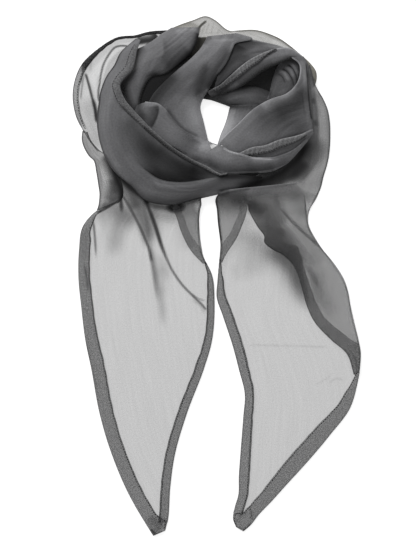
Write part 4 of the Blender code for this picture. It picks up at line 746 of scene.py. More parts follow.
def softened(values: Array) -> Array:
    """A grid where each value has moved halfway to the mean of its four neighbours.

    Args:
        values: the grid.

    Returns:
        A grid of the same shape.
    """
    wide = np.pad(values, 1, mode="edge")
    around = wide[:-2, 1:-1] + wide[2:, 1:-1] + wide[1:-1, :-2] + wide[1:-1, 2:]
    return 0.5 * values + 0.125 * around


def ripples(across: Array, along: Array, height: float, spacing: float, seed: int) -> Array:
    """Uneven gathers that run along a stretch: a few cosines across it, each of its own spacing, whose
    phase and height wander slowly along it.

    Args:
        across: millimetres from one edge.
        along: millimetres from the start.
        height: about how high the gathers rise.
        spacing: about how far apart they are.
        seed: starts the random numbers.

    Returns:
        The rise at each point, in millimetres.
    """
    draw = np.random.default_rng(seed)
    rise = np.zeros_like(across)
    for _ in range(RIPPLE_WAVES):
        gap = spacing * draw.uniform(0.6, 1.7)
        drift, sway = draw.uniform(60, 150), draw.uniform(0.2, 0.7)
        phase, turn, strength = draw.uniform(0, 2 * np.pi, 3)
        wander = sway * np.sin(2 * np.pi * along / drift + turn)
        swell = 0.6 + 0.4 * np.cos(2 * np.pi * along / (0.7 * drift) + strength)
        rise += swell * np.cos(2 * np.pi * (across / gap + wander) + phase)
    return height * rise / RIPPLE_SUM


def fading(along: Array, ends: Point) -> Array:
    """A share that rises smoothly from 0 over the first stretch and falls to 0 over the last.

    Args:
        along: millimetres from the start.
        ends: how long the rise and the fall are; 0 leaves that end whole.

    Returns:
        The share at each point.
    """
    share = np.ones_like(along)
    for away, length in ((along, ends[0]), (along.max() - along, ends[1])):
        if length:
            share = share * eased(away / length)
    return share


def marked(
    own: tuple[float, float], points: Array, creases_and_shading: tuple[CreaseAndShading, ...], looks: list[tuple[EdgeLook, Array]]
) -> tuple[Array, Array]:
    """The layers of cloth and the painted light, painted shade and painted highlight, at each point of a grid.

    Args:
        own: the cloth's layers and painted light before anything crosses it.
        points: the grid.
        creases_and_shading: the creases in it, with their painted shading.
        looks: the look of each edge, its layers and painted light, with how far every point is from that edge.

    Returns:
        The layers and the painted light.
    """
    layers, tone = (np.full(points.shape[:2], float(value)) for value in own)
    crossing = [(crease_and_shading, crease_and_shading.weight(points)) for crease_and_shading in creases_and_shading if crease_and_shading.layers or crease_and_shading.tone]
    for change, weight in [*crossing, *((look, look.weight(away)) for look, away in looks)]:
        layers += change.layers * weight
        tone *= 1 + change.tone * weight
    return layers, tone


class Heap:
    """A height map of all that lies on the table so far, one height for each cell of the plan."""

    def __init__(self) -> None:
        """Starts with a bare table."""
        self.origin = -np.array(MAP_HALF, float)
        self.height = np.zeros([int(2 * half / CELL) + 2 for half in MAP_HALF])

    def top(self, points: Array) -> Array:
        """The highest cloth near each point.

        Args:
            points: a grid of points, of which only the plan counts.

        Returns:
            The greatest height of the four cells round each point.
        """
        column = np.floor((points[..., 0] - self.origin[0]) / CELL).astype(int)
        row = np.floor((points[..., 1] - self.origin[1]) / CELL).astype(int)
        return np.maximum.reduce([self.height[column + i, row + j] for i in (0, 1) for j in (0, 1)])

    def press(self, points: Array, quads: Array, divisions: int = 4) -> None:
        """Raises the map to a mesh, by points spread evenly over each of its triangles.

        Args:
            points: corner positions, in any arrangement.
            quads: four corners for each face.
            divisions: how finely each side of a triangle is divided.
        """
        first, second = np.meshgrid(np.arange(divisions + 1), np.arange(divisions + 1), indexing="ij")
        inside = first + second <= divisions
        a, b = first[inside] / divisions, second[inside] / divisions
        weights = np.column_stack([a, b, 1 - a - b])
        spread = np.einsum("sk,tkc->tsc", weights, points.reshape(-1, 3)[halves(quads)]).reshape(-1, 3)
        cell = np.rint((spread[:, :2] - self.origin) / CELL).astype(int)
        np.maximum.at(self.height, (cell[:, 0], cell[:, 1]), spread[:, 2])

    def drape(self, loose: Array, passes: int = 50) -> Array:
        """Lays a grid on the heap. It sinks until it touches, then each part that dips into the heap is
        lifted, and the lift is softened again and again but never falls below what is needed.

        Args:
            loose: a grid of points.
            passes: how often the lift is softened.

        Returns:
            The grid where it comes to rest.
        """
        ground = self.top(loose)
        ground = np.where(ground > 0, ground + WALL_GAP, 0)
        height = loose[..., 2] - max(0.0, float((loose[..., 2] - ground).min()))
        need = np.maximum(ground - height, 0)
        lift = need
        for _ in range(passes):
            lift = np.maximum(need, softened(lift))
        laid = loose.copy()
        laid[..., 2] = height + lift
        return laid


def feed(tree: bpy.types.NodeTree, node: bpy.types.Node, inputs: dict) -> None:
    """Fills a shader node's inputs.

    Args:
        tree: the node tree.
        node: one of its nodes.
        inputs: what goes into each input, by name or number: another node's output, or a value.
    """
    for key, value in inputs.items():
        if isinstance(value, bpy.types.NodeSocket):
            tree.links.new(value, node.inputs[key])
        else:
            node.inputs[key].default_value = value


def add_node(tree: bpy.types.NodeTree, kind: str, inputs: dict | None = None, **settings: object) -> bpy.types.Node:
    """Adds a shader node.

    Args:
        tree: the node tree.
        kind: the node's type, without its ShaderNode prefix.
        inputs: what goes into its inputs, as for feed.
        settings: the node's own properties.

    Returns:
        The new node.
    """
    node = tree.nodes.new(f"ShaderNode{kind}")
    for name, value in settings.items():
        setattr(node, name, value)
    feed(tree, node, inputs or {})
    return node


def new_material(name: str) -> tuple[bpy.types.Material, bpy.types.NodeTree, bpy.types.Node]:
    """Starts a material.

    Args:
        name: the material's name.

    Returns:
        The material, its node tree and its principled shader.
    """
    made = bpy.data.materials.new(name)
    made.use_nodes = True
    return made, made.node_tree, made.node_tree.nodes["Principled BSDF"]


def add_object(name: str, data: bpy.types.ID) -> bpy.types.Object:
    """Adds an object to the scene.

    Args:
        name: the object's name.
        data: its mesh, lamp or camera.

    Returns:
        The object.
    """
    made = bpy.data.objects.new(name, data)
    bpy.context.collection.objects.link(made)
    return made


@dataclass(frozen=True)
class ChiffonFinish:
    """Polyester chiffon, plain woven from crepe yarn and piece dyed: sheer, matt and a little grainy.

    What the eye gets is a grey veil that darkens with each further layer and where the cloth turns away,
    with faint streaks along the warp and a fine grain where the crepe yarn crowds. slot names a material
    slot and is not used here; sizes are in millimetres, and streak_long is how much longer than wide a
    streak is.
    """

    name: str
    slot: str = "chiffon"
    thread: str = "6e6e6f"
    roughness: float = 0.8
    sheen: float = 0.05
    sheen_roughness: float = 0.4
    specular: float = 0.15
    grain_mm: float = 1.7  # a yarn crossing is 0.4 mm, drawn coarser so that it shows
    grain: float = 0.1
    streak_mm: float = 3.0
    streak_long: float = 18.0
    streak: float = 0.06
    weave_mm: float = 2.0
    bump: float = 0.2
    bump_mm: float = 0.4
    edge_on: float = 0.2  # the least that the cloth faces the eye, so that layers seen edge on stay finite

    def material(self) -> bpy.types.Material:
        """Builds the material. Its alpha is 1 less the share of light that gets past all the layers, which
        is the root of LAYER_PASS to the power of the layers, and more of them where the cloth is seen edge
        on: the cloth is a shell of two faces, and each takes half of the veil. Its colour is the thread's,
        scaled by the grain, the streaks and the painted light of each point: painted shade below 1 and a
        painted highlight above 1.

        Returns:
            The material.
        """
        made, tree, shader = new_material(self.name)
        cloth = add_node(tree, "UVMap", uv_map="cloth").outputs["UV"]

        def math(operation: str, *values: object) -> bpy.types.NodeSocket:
            """A maths node's output."""
            return add_node(tree, "Math", dict(enumerate(values)), operation=operation).outputs[0]

        def noise(size_u: float, size_v: float) -> bpy.types.NodeSocket:
            """Noise round 0, mostly within 1, with grains of a size in millimetres across and along the cloth."""
            scale = (UV_UNIT / size_u, UV_UNIT / size_v, 1)
            placed = add_node(tree, "VectorMath", {0: cloth, 1: scale}, operation="MULTIPLY").outputs[0]
            grain = add_node(tree, "TexNoise", {"Vector": placed, "Scale": 1.0, "Detail": 2.0})
            return math("MULTIPLY_ADD", grain.outputs["Fac"], NOISE_GAIN, -NOISE_GAIN / 2)

        grain = noise(self.grain_mm, self.grain_mm)
        streak = noise(self.streak_mm, self.streak_long * self.streak_mm)
        layers = add_node(tree, "Attribute", attribute_name="layers").outputs["Fac"]
        # painted light of each point: painted shade below 1 and painted highlight above 1, scaling the colour
        tone = add_node(tree, "Attribute", attribute_name="tone").outputs["Fac"]
        uneven = math("ADD", math("MULTIPLY", grain, self.grain), math("MULTIPLY_ADD", streak, self.streak, 1.0))
        facing = add_node(tree, "LayerWeight", {"Blend": 0.5}).outputs["Facing"]
        upright = math("MAXIMUM", math("SUBTRACT", 1.0, facing), self.edge_on)
        crossed = math("DIVIDE", math("MULTIPLY", layers, uneven), upright)
        passed = math("POWER", LAYER_PASS**0.5, crossed)
        alpha = math("SUBTRACT", 1.0, passed)
        lit = math("MULTIPLY", tone, uneven)
        colour = add_node(tree, "VectorMath", {0: linear(self.thread), "Scale": lit}, operation="SCALE")
        weave = noise(self.weave_mm, self.weave_mm)
        raised = add_node(tree, "Bump", {"Strength": self.bump, "Distance": self.bump_mm * MM, "Height": weave})
        looks = {"Base Color": colour.outputs[0], "Alpha": alpha, "Normal": raised.outputs["Normal"]}
        looks |= {"Roughness": self.roughness, "Sheen Weight": self.sheen, "Sheen Roughness": self.sheen_roughness}
        feed(tree, shader, looks | {"Specular IOR Level": self.specular})
        return made


@dataclass(frozen=True)
class ThreadFinish:
    """Spun polyester sewing thread: two plies, matt, and darker than the cloth that it is sunk into.

    ply highlight is how many times lighter than the thread's own colour the noise paints its lightest
    spots, a painted highlight on the plies.
    """

    name: str
    slot: str = "hem"
    thread: str = "2c2c2d"
    roughness: float = 0.85
    ply_mm: float = 0.5
    ply_highlight: float = 1.9

    def material(self) -> bpy.types.Material:
        """Builds the material: uneven plies, with noise that paints a highlight up to ply highlight times lighter.

        Returns:
            The material.
        """
        made, tree, shader = new_material(self.name)
        place = add_node(tree, "TexCoord").outputs["Object"]
        size = 1 / (self.ply_mm * MM)
        plies = add_node(tree, "TexNoise", {"Vector": place, "Scale": size, "Detail": 1.0}).outputs["Fac"]
        dark, light = linear(self.thread), [self.ply_highlight * value for value in linear(self.thread)]
        blend = add_node(tree, "Mix", {0: plies, 6: (*dark, 1), 7: (*light, 1)}, data_type="RGBA")
        feed(tree, shader, {"Base Color": blend.outputs[2], "Roughness": self.roughness})
        return made


SHEER = ChiffonFinish("sheer_chiffon", thread="545455", grain=0.14, grain_mm=1.2)
BACK = ChiffonFinish("sheer_chiffon_back", thread="6f6d66")
LAYERED = ChiffonFinish("layered_chiffon", "layered_chiffon", thread="7b7b7d", streak=0.07)
# near black: painted shade for the depth of the ring, which the hidden layers stand in for
SHADOWED = ChiffonFinish("shadowed_chiffon", "shadowed_chiffon", thread="1c1c1d", sheen=0.0)
HEM = ChiffonFinish("hemmed_chiffon", "hem", thread="5a5a5b", grain=0.34, streak=0.04, grain_mm=1.4, bump=0.6)
BAND_HEM = ChiffonFinish("band_hem_chiffon", "hem", thread="5a5a5b", grain=0.3, streak=0.04, grain_mm=1.4, bump=0.4)
THREAD = ThreadFinish("sewing_thread")


@dataclass
class Bench:
    """Where the scarf is laid: the heap so far, the panels laid so far and the materials in use."""

    heap: Heap = field(default_factory=Heap)
    panels: dict[str, Stretch] = field(default_factory=dict)
    materials: dict[str, bpy.types.Material] = field(default_factory=dict)

    def finish(self, finish: ChiffonFinish | ThreadFinish) -> bpy.types.Material:
        """The material of a finish, made the first time that it is asked for.

        Args:
            finish: the finish.

        Returns:
            Its material.
        """
        if finish.name not in self.materials:
            self.materials[finish.name] = finish.material()
        return self.materials[finish.name]

    def piece(
        self,
        name: str,
        points: Array,
        faces: Array,
        finish: ChiffonFinish | ThreadFinish,
        marks: dict[str, Array] | None = None,
        plan: Array | None = None,
        sharp: float = 50.0,
    ) -> bpy.types.Object:
        """Makes a piece of the scarf from points in the tables' millimetres.

        Args:
            name: the piece's name.
            points: corner positions.
            faces: corners of each face.
            finish: what it is made of.
            marks: a number for each corner, by attribute name.
            plan: the cloth's own position of each corner, in millimetres.
            sharp: the angle from which an edge is sharp, in degrees.

        Returns:
            The object, which rides on the scarf's one body.
        """
        place = (points - np.array([*PLAN_CENTRE, 0])) * MM
        mesh = bpy.data.meshes.new(name)
        mesh.from_pydata(place.tolist(), [], faces.tolist())
        for key, values in (marks or {}).items():
            mesh.attributes.new(key, "FLOAT", "POINT").data.foreach_set("value", values.astype(np.float32))
        if plan is not None:
            corner = np.empty(len(mesh.loops), np.int32)
            mesh.loops.foreach_get("vertex_index", corner)
            layer = mesh.uv_layers.new(name="cloth")
            layer.data.foreach_set("uv", (plan[corner] / UV_UNIT).astype(np.float32).ravel())
        mesh.materials.append(self.finish(finish))
        mesh.shade_smooth()
        mesh.set_sharp_from_angle(angle=np.radians(sharp))
        made = add_object(name, mesh)
        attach(made, "root")
        LOG.info("%s: %d points, %d faces", name, len(points), len(faces))
        return made

    def thin_piece(
        self,
        node: str,
        middle: Array,
        thickness: Array | float,
        finish: ChiffonFinish,
        marks: tuple[Array, Array],
        plan: Array,
    ) -> bpy.types.Object:
        """Makes the thin closed piece of cloth that replaces a node.

        Args:
            node: the node's name, which the piece's name starts with.
            middle: the grid of points in the middle of the cloth.
            thickness: one number, or one for each point.
            finish: what it is made of.
            marks: the layers and the painted light of each point.
            plan: the cloth's own position of each point, across and along.

        Returns:
            The object.
        """
        points, faces = shell(middle, thickness)
        both_sides = {key: np.tile(values.ravel(), 2) for key, values in zip(("layers", "tone"), marks)}
        cloth = np.tile(plan.reshape(-1, 2), (2, 1))
        made = self.piece(f"{node}_cloth", points, faces, finish, both_sides, cloth)
        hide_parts(node)
        return made


def shell(middle: Array, thickness: Array | float) -> tuple[Array, Array]:
    """A closed thin shell round a grid: the grid moved out and in along its normals by half the
    thickness, with a strip round the rim.

    Args:
        middle: the grid of points.
        thickness: one number, or one for each point.

    Returns:
        The points, first the lower and then the upper ones, and the quads.
    """
    normal = normals_of(middle) * (np.asarray(thickness)[..., None] / 2)
    rows, columns = middle.shape[:2]
    count = rows * columns
    quads = grid_quads(rows, columns)
    corner = np.arange(count).reshape(rows, columns)
    rim = np.concatenate([corner[:, 0], corner[-1, 1:], corner[-2::-1, -1], corner[0, -2:0:-1]])
    after = np.roll(rim, -1)
    strip = np.column_stack([rim, after, after + count, rim + count])
    points = np.vstack([(middle - normal).reshape(-1, 3), (middle + normal).reshape(-1, 3)])
    return points, facing_out(points, np.vstack([quads[:, ::-1], quads + count, strip]))


def facing_out(points: Array, quads: Array) -> Array:
    """Turns the quads round where they enclose a negative volume.

    Args:
        points: corner positions.
        quads: four corners for each quad.

    Returns:
        The quads, seen from outside.
    """
    corners = points[halves(quads)]
    volume = np.einsum("ij,ij->i", corners[:, 0], np.cross(corners[:, 1], corners[:, 2])).sum()
    return quads if volume > 0 else quads[:, ::-1]


@dataclass
class Stretch:
    """A length of chiffon between two edges.

    sections is its table; cut is the flat width and length of what shows, in millimetres, and cut_area its
    area where that isn't their product, which nothing here reads; layers is how many layers of cloth it
    stands for and tone how light it is; gather is the height of the small gathers along it and gather_apart
    their spacing; left, right and last are the looks of its two edges and of its far end; ends is how far its
    layers fade in and out along it; spacing is the distance between its points, and seed starts its random
    numbers.
    """

    name: str
    sections: tuple
    cut: Point
    held: Held = Held.GATHERED
    rests_on: tuple[str, ...] = ("hidden_layers",)
    finish: ChiffonFinish = SHEER
    cut_area: float = 0.0
    layers: float = 1.0
    # painted light of the whole stretch: below 1 it paints shade, above 1 it paints light
    tone: float = 1.0
    gather: float = 0.2
    gather_apart: float = 9.0
    creases_and_shading: tuple[CreaseAndShading, ...] = ()
    left: EdgeLook = EdgeLook()
    right: EdgeLook = EdgeLook()
    last: EdgeLook = EdgeLook()
    ends: Point = (0.0, 0.0)
    spacing: float = 0.85
    seed: int = 1

    def edges(self, shares: Array) -> tuple[Array, Array, Array]:
        """Reads the stretch's table.

        Args:
            shares: shares of its length, measured along its middle.

        Returns:
            The left edge, the right edge and the crown at each share.
        """
        rows = np.array(self.sections, float)
        knots = run_of((rows[:, :2] + rows[:, 3:5]) / 2)
        read = smooth_through(knots, rows, shares * knots[-1])
        return read[:, :3], read[:, 3:6], np.maximum(read[:, 6], 0)

    def loose(self) -> tuple[Array, Array]:
        """The stretch before it is laid: a straight line from edge to edge in each section, raised by the
        crown as a flattened ellipse, by the creases and by the gathers.

        Returns:
            A grid of points, and the cloth's own position of each, across and along.
        """
        coarse_left, coarse_right, _ = self.edges(np.linspace(0, 1, MEASURE_STEPS))
        middle = (coarse_left + coarse_right)[:, :2] / 2
        length = np.linalg.norm(np.diff(middle, axis=0), axis=1).sum()
        width = np.linalg.norm((coarse_left - coarse_right)[:, :2], axis=1).max()
        rows = int(np.clip(length / self.spacing, *ROW_LIMITS)) + 1
        columns = int(np.clip(width / self.spacing, *COLUMN_LIMITS)) + 1
        left, right, crown = self.edges(np.linspace(0, 1, rows))
        even = np.linspace(0, 1, columns)
        across = ((even + 0.5 - 0.5 * np.cos(np.pi * even)) / 2)[None, :, None]
        points = left[:, None] * (1 - across) + right[:, None] * across
        bulge = (1 - np.abs(2 * across[..., 0] - 1) ** ROUNDNESS) ** (1 / ROUNDNESS)
        points[..., 2] += crown[:, None] * bulge
        span = np.linalg.norm((right - left)[:, :2], axis=1)
        along = np.broadcast_to(np.linspace(0, length, rows)[:, None], (rows, columns))
        plan = np.dstack([across[..., 0] * span[:, None], along])
        inner = np.clip(3 * np.minimum(across[..., 0], 1 - across[..., 0]), 0, 1)
        points[..., 2] += inner * ripples(plan[..., 0], plan[..., 1], self.gather, self.gather_apart, self.seed)
        for crease_and_shading in self.creases_and_shading:
            if crease_and_shading.rise:
                points[..., 2] += crease_and_shading.rise * crease_and_shading.weight(points)
        return points, plan

    def marks(self, points: Array, plan: Array) -> tuple[Array, Array]:
        """What the cloth looks like at each point.

        Args:
            points: the grid where it lies.
            plan: the cloth's own position of each point, across and along.

        Returns:
            The layers of cloth and the painted light: painted shade and painted highlight.
        """
        across, along = plan[..., 0], plan[..., 1]
        aways = (across, plan[:, -1:, 0] - across, along.max() - along)
        looks = list(zip((self.left, self.right, self.last), aways))
        layers, tone = marked((self.layers, self.tone), points, self.creases_and_shading, looks)
        return np.clip(layers * fading(along, self.ends), *LAYER_LIMITS), np.clip(tone, *PAINTED_LIGHT_LIMITS)

    def lay(self, bench: Bench) -> bpy.types.Object:
        """Lays the stretch on the heap and makes it a thin shell in the middle of its node's wall.

        Args:
            bench: where the scarf is laid.

        Returns:
            The piece of cloth.
        """
        loose, plan = self.loose()
        under = bench.heap.drape(loose)
        normal = normals_of(under)
        bench.heap.press(under + WALL * normal, grid_quads(*under.shape[:2]))
        bench.panels[self.name] = self
        middle = under + WALL / 2 * normal
        made = bench.thin_piece(self.name, middle, SHEER_SHELL, self.finish, self.marks(under, plan), plan)
        area = np.linalg.norm(np.cross(np.diff(under, axis=0)[:, :-1], np.diff(under, axis=1)[:-1]), axis=2).sum()
        LOG.info("%s: %.0f square mm shows, cut %s", self.name, area, self.cut)
        return made

    def settle(self, bench: Bench, *hems: Hem) -> None:
        """Lays the stretch and then its hems.

        Args:
            bench: where the scarf is laid.
            hems: its hems, in laying order.
        """
        made = self.lay(bench)
        trims = [trim for hem in hems for trim in hem.lay(bench)]


@dataclass
class Hem:
    """A double-turned, stitched hem on one edge of a stretch, between two shares of its length.

    panel is the stretch's name; width is the hem's, and widths gives it instead at shares of its length;
    layers is how many layers it adds and rise its height over the panel; stitch_in is how far the line of
    stitches lies from its inner edge, and 0 leaves the stitches out; pucker is the height of what the
    stitches gather, and wrinkle shading how strongly slanted wrinkles are painted across it in painted shade
    and painted highlight; share is the most of its panel's width that it takes; outer and inner are the looks
    of its two edges, their layers and painted light, and ends is how far its layers fade.
    """

    name: str
    panel: str
    side: Side
    width: float
    start: float
    end: float
    layers: float = 2.0
    # painted light of the whole hem: the ring's hems are painted about twice as light as their bands
    tone: float = 1.0
    rise: float = 1.0
    stitch_in: float = 1.2
    pucker: float = 0.16
    creases_and_shading: tuple[CreaseAndShading, ...] = ()
    widths: tuple[Point, ...] = ()
    ends: Point = (0.0, 0.0)
    wrinkle_shading: float = 0.12
    share: float = HEM_SHARE
    outer: EdgeLook = EdgeLook(0.6, -0.12, 0.6)
    inner: EdgeLook = EdgeLook(0.0, 0.25, 0.6)
    finish: ChiffonFinish = HEM
    seed: int = 5

    def strip(self, bench: Bench) -> tuple[Array, Array]:
        """The hem before it is laid: the panel's own edge, followed inwards for the hem's width.

        Args:
            bench: where the scarf is laid.

        Returns:
            A grid of points, and the hem's own position of each, across and along.
        """
        panel = bench.panels[self.panel]
        left, right, _ = panel.edges(np.linspace(self.start, self.end, HEM_READINGS))
        edge, far = (left, right) if self.side is Side.LEFT else (right, left)
        run = run_of(edge[:, :2])
        even = np.linspace(0, run[-1], int(run[-1] / HEM_STEP) + 2)
        edge, far = read_at(even, run, edge[:, :2]), read_at(even, run, far[:, :2])
        along = np.gradient(edge, axis=0)
        inward = np.column_stack([-along[:, 1], along[:, 0]])
        inward *= np.sign((inward * (far - edge)).sum(axis=1))[:, None]
        inward /= np.linalg.norm(inward, axis=1)[:, None]
        full = np.full(len(even), float(self.width))
        if self.widths:
            full = np.interp(even / even[-1], *np.array(self.widths).T)
        span = np.linalg.norm(far - edge, axis=1)
        across = (far - edge) / span[:, None]
        lean = np.maximum((across * inward).sum(axis=1), HEM_LEAN)
        sway = ripples(even, np.zeros_like(even), HEM_SWAY, HEM_SWAY_APART, self.seed)
        room = np.minimum(full / lean + sway, self.share * span)
        crowded = 0.5 - 0.5 * np.cos(np.linspace(0, np.pi, HEM_COLUMNS))
        shares = HEM_EVEN * np.linspace(0, 1, HEM_COLUMNS) + (1 - HEM_EVEN) * crowded
        inset = shares[None] * room[:, None] - HEM_OVERHANG
        plan = np.dstack([inset, np.broadcast_to(even[:, None], inset.shape)])
        points = edge[:, None] + across[:, None] * inset[..., None]
        return np.dstack([points, bench.heap.top(points)]), plan

    def lay(self, bench: Bench) -> list[bpy.types.Object]:
        """Lays the hem on its panel: a pillow whose height is a flattened ellipse across, puckered by its
        stitches, and the stitches in it.

        Args:
            bench: where the scarf is laid.

        Returns:
            The hem's piece of cloth and, where it is stitched, its row of stitches.
        """
        loose, plan = self.strip(bench)
        under = bench.heap.drape(loose, HEM_PASSES)
        normal = normals_of(under)
        bench.heap.press(under + normal, grid_quads(*under.shape[:2]))
        across, along = plan[..., 0], plan[..., 1]
        from_outer, from_inner = across - plan[:, :1, 0], plan[:, -1:, 0] - across
        share = 2 * from_outer / np.maximum(plan[:, -1:, 0] - plan[:, :1, 0], 0.01) - 1
        puckers = ripples(along, across, self.pucker, PUCKER_APART, self.seed + 1)
        body = self.rise * (1 - np.abs(share) ** 4) ** 0.5 + puckers * (1 - share**2)
        height = np.maximum(body, HEM_LEAST)
        looks = [(self.outer, from_outer), (self.inner, from_inner)]
        layers, tone = marked((self.layers, self.tone), under, self.creases_and_shading, looks)
        layers *= fading(along, self.ends)
        # painted wrinkles: slanted waves of painted shade and painted highlight across the hem
        tone *= 1 + self.wrinkle_shading * ripples(along + WRINKLE_SHADING_SLANT * across, across, 1.0, WRINKLE_SHADING_APART, self.seed + 2)
        marks = (layers, np.maximum(tone, PAINTED_LIGHT_LIMITS[0]))
        middle = under + 0.5 * height[..., None] * normal
        made = bench.thin_piece(self.name, middle, height, self.finish, marks, plan)
        return [made, *self.stitches(bench, under + height[..., None] * normal, normal, from_inner)]

    def stitches(self, bench: Bench, top: Array, normal: Array, from_inner: Array) -> list[bpy.types.Object]:
        """A row of lockstitches along the inner edge, each a small capsule half sunk into the hem.

        Args:
            bench: where the scarf is laid.
            top: the hem's upper surface.
            normal: its normals.
            from_inner: how far each point is from the inner edge, in millimetres.

        Returns:
            One piece that holds the whole row, or none.
        """
        if not self.stitch_in:
            return []
        column = int(np.abs(from_inner - self.stitch_in).mean(axis=0).argmin())
        line, up = top[:, column], normal[:, column]
        run = run_of(line)
        at = np.arange(STITCH_MARGIN, run[-1] - STITCH_MARGIN, STITCH_PITCH)
        centre, lift = read_at(at, run, line), read_at(at, run, up)
        ahead = np.gradient(centre, axis=0)
        ahead /= np.linalg.norm(ahead, axis=1)[:, None]
        beside = np.cross(lift, ahead)
        shape, faces = capsule(STITCH_LENGTH / 2, STITCH_RADIUS)
        points = (
            centre[:, None]
            + shape[None, :, :1] * ahead[:, None]
            + shape[None, :, 1:2] * beside[:, None]
            + shape[None, :, 2:] * lift[:, None]
        )
        joined = (faces[None] + np.arange(len(at))[:, None, None] * len(shape)).reshape(-1, 4)
        return [bench.piece(f"{self.name}_stitches", points.reshape(-1, 3), joined, THREAD, sharp=80)]


def capsule(half: float, radius: float) -> tuple[Array, Array]:
    """A small closed capsule along x: rings whose radius follows a circle at both ends, six points to a
    ring, closed by two small end rings.

    Args:
        half: half its length.
        radius: its radius.

    Returns:
        Points and quads.
    """
    sides = 6
    turn = np.linspace(0, 2 * np.pi, sides, endpoint=False)
    ring_at = np.array([-1, -0.75, 0, 0.75, 1]) * half
    ring_radius = np.array([0.25, 0.85, 1.0, 0.85, 0.25]) * radius
    rings = len(ring_at)
    x = np.broadcast_to(ring_at[:, None], (rings, sides))
    y, z = ring_radius[:, None] * np.cos(turn), ring_radius[:, None] * np.sin(turn)
    points = np.dstack([x, y, z]).reshape(-1, 3)
    corner = np.arange(rings * sides).reshape(rings, sides)
    after = np.roll(corner, -1, axis=1)
    body = np.column_stack([part.ravel() for part in (corner[:-1], after[:-1], after[1:], corner[1:])])
    last = corner[-1, 0]
    first_end = np.array([[5, 4, 1, 0], [4, 3, 2, 1]])
    last_end = last + np.array([[0, 1, 4, 5], [1, 2, 3, 4]])
    return points, np.vstack([body, first_end, last_end])


@dataclass
class HiddenLayers:
    """What no side shows of the ring: many layers of cloth, stepped at both rims and rounded on top, drawn
    near black as painted shade for the ring's depth.

    readings is how many sections the ring has and dome_steps how many steps its rounded top; width is the
    cloth's own width for its UV map, and turn_length its length from one row of the table to the next.
    """

    steps: int = 3
    step_rise: float = 2.2
    step_inset: float = 0.035
    height: float = 12.5
    readings: int = 210
    dome_steps: int = 33
    layers: float = 9.0
    width: float = 90.0
    turn_length: float = 30.0

    def profile(self) -> Array:
        """The shape of one section: steps at both rims and half an ellipse between.

        Returns:
            Rows of (share from the inner rim to the outer one, height).
        """
        steps = np.array(
            [
                (1 - layer * self.step_inset, self.step_rise * (layer + up))
                for layer in range(self.steps)
                for up in (0.02, 0.5, 0.98)
            ]
        )
        step_top, step_at = steps[-1, 1], 1 - steps[-1, 0]
        angle = np.linspace(0, np.pi, self.dome_steps + 1)[1:-1]
        dome_at = 0.5 + (0.5 - step_at) * np.cos(angle)
        dome = np.column_stack([dome_at, step_top + (self.height - step_top) * np.sin(angle)])
        mirrored = np.column_stack([1 - steps[::-1, 0], steps[::-1, 1]])
        return np.vstack([steps, dome, mirrored])

    def build(self, bench: Bench) -> None:
        """Carries one profile round the neck opening.

        Args:
            bench: where the scarf is laid.
        """
        rows = np.array(HIDDEN_RING + HIDDEN_RING[:1], float)
        count = len(rows) - 1
        turns = np.vstack([rows[-3:-1], rows, rows[1:3]])
        shares = np.linspace(0, count, self.readings, endpoint=False)
        read = smooth_through(np.arange(-2, count + 3, dtype=float), turns, shares)
        inner, outer = read[:, :2], read[:, 2:]
        profile = self.profile()
        across = profile[:, 0][None, :, None]
        plan = inner[:, None] * (1 - across) + outer[:, None] * across
        points = np.dstack([plan, np.broadcast_to(profile[:, 1], plan.shape[:2])])
        around, section = points.shape[:2]
        corner = np.arange(around * section).reshape(around, section)
        ahead = np.roll(corner, -1, axis=0)
        sides = (corner, ahead, np.roll(ahead, -1, axis=1), np.roll(corner, -1, axis=1))
        flat = points.reshape(-1, 3)
        faces = facing_out(flat, np.column_stack([side.ravel() for side in sides]))
        bench.heap.press(flat, faces, divisions=8)
        marks = {"layers": np.full(len(flat), self.layers), "tone": np.ones(len(flat))}
        along = np.broadcast_to(shares[:, None] * self.turn_length, (around, section))
        cloth = np.dstack([across[..., 0] * np.full((around, 1), self.width), along]).reshape(-1, 2)
        made = bench.piece("hidden_layers_cloth", flat, faces, SHADOWED, marks, cloth, sharp=60)
        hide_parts("hidden_layers")


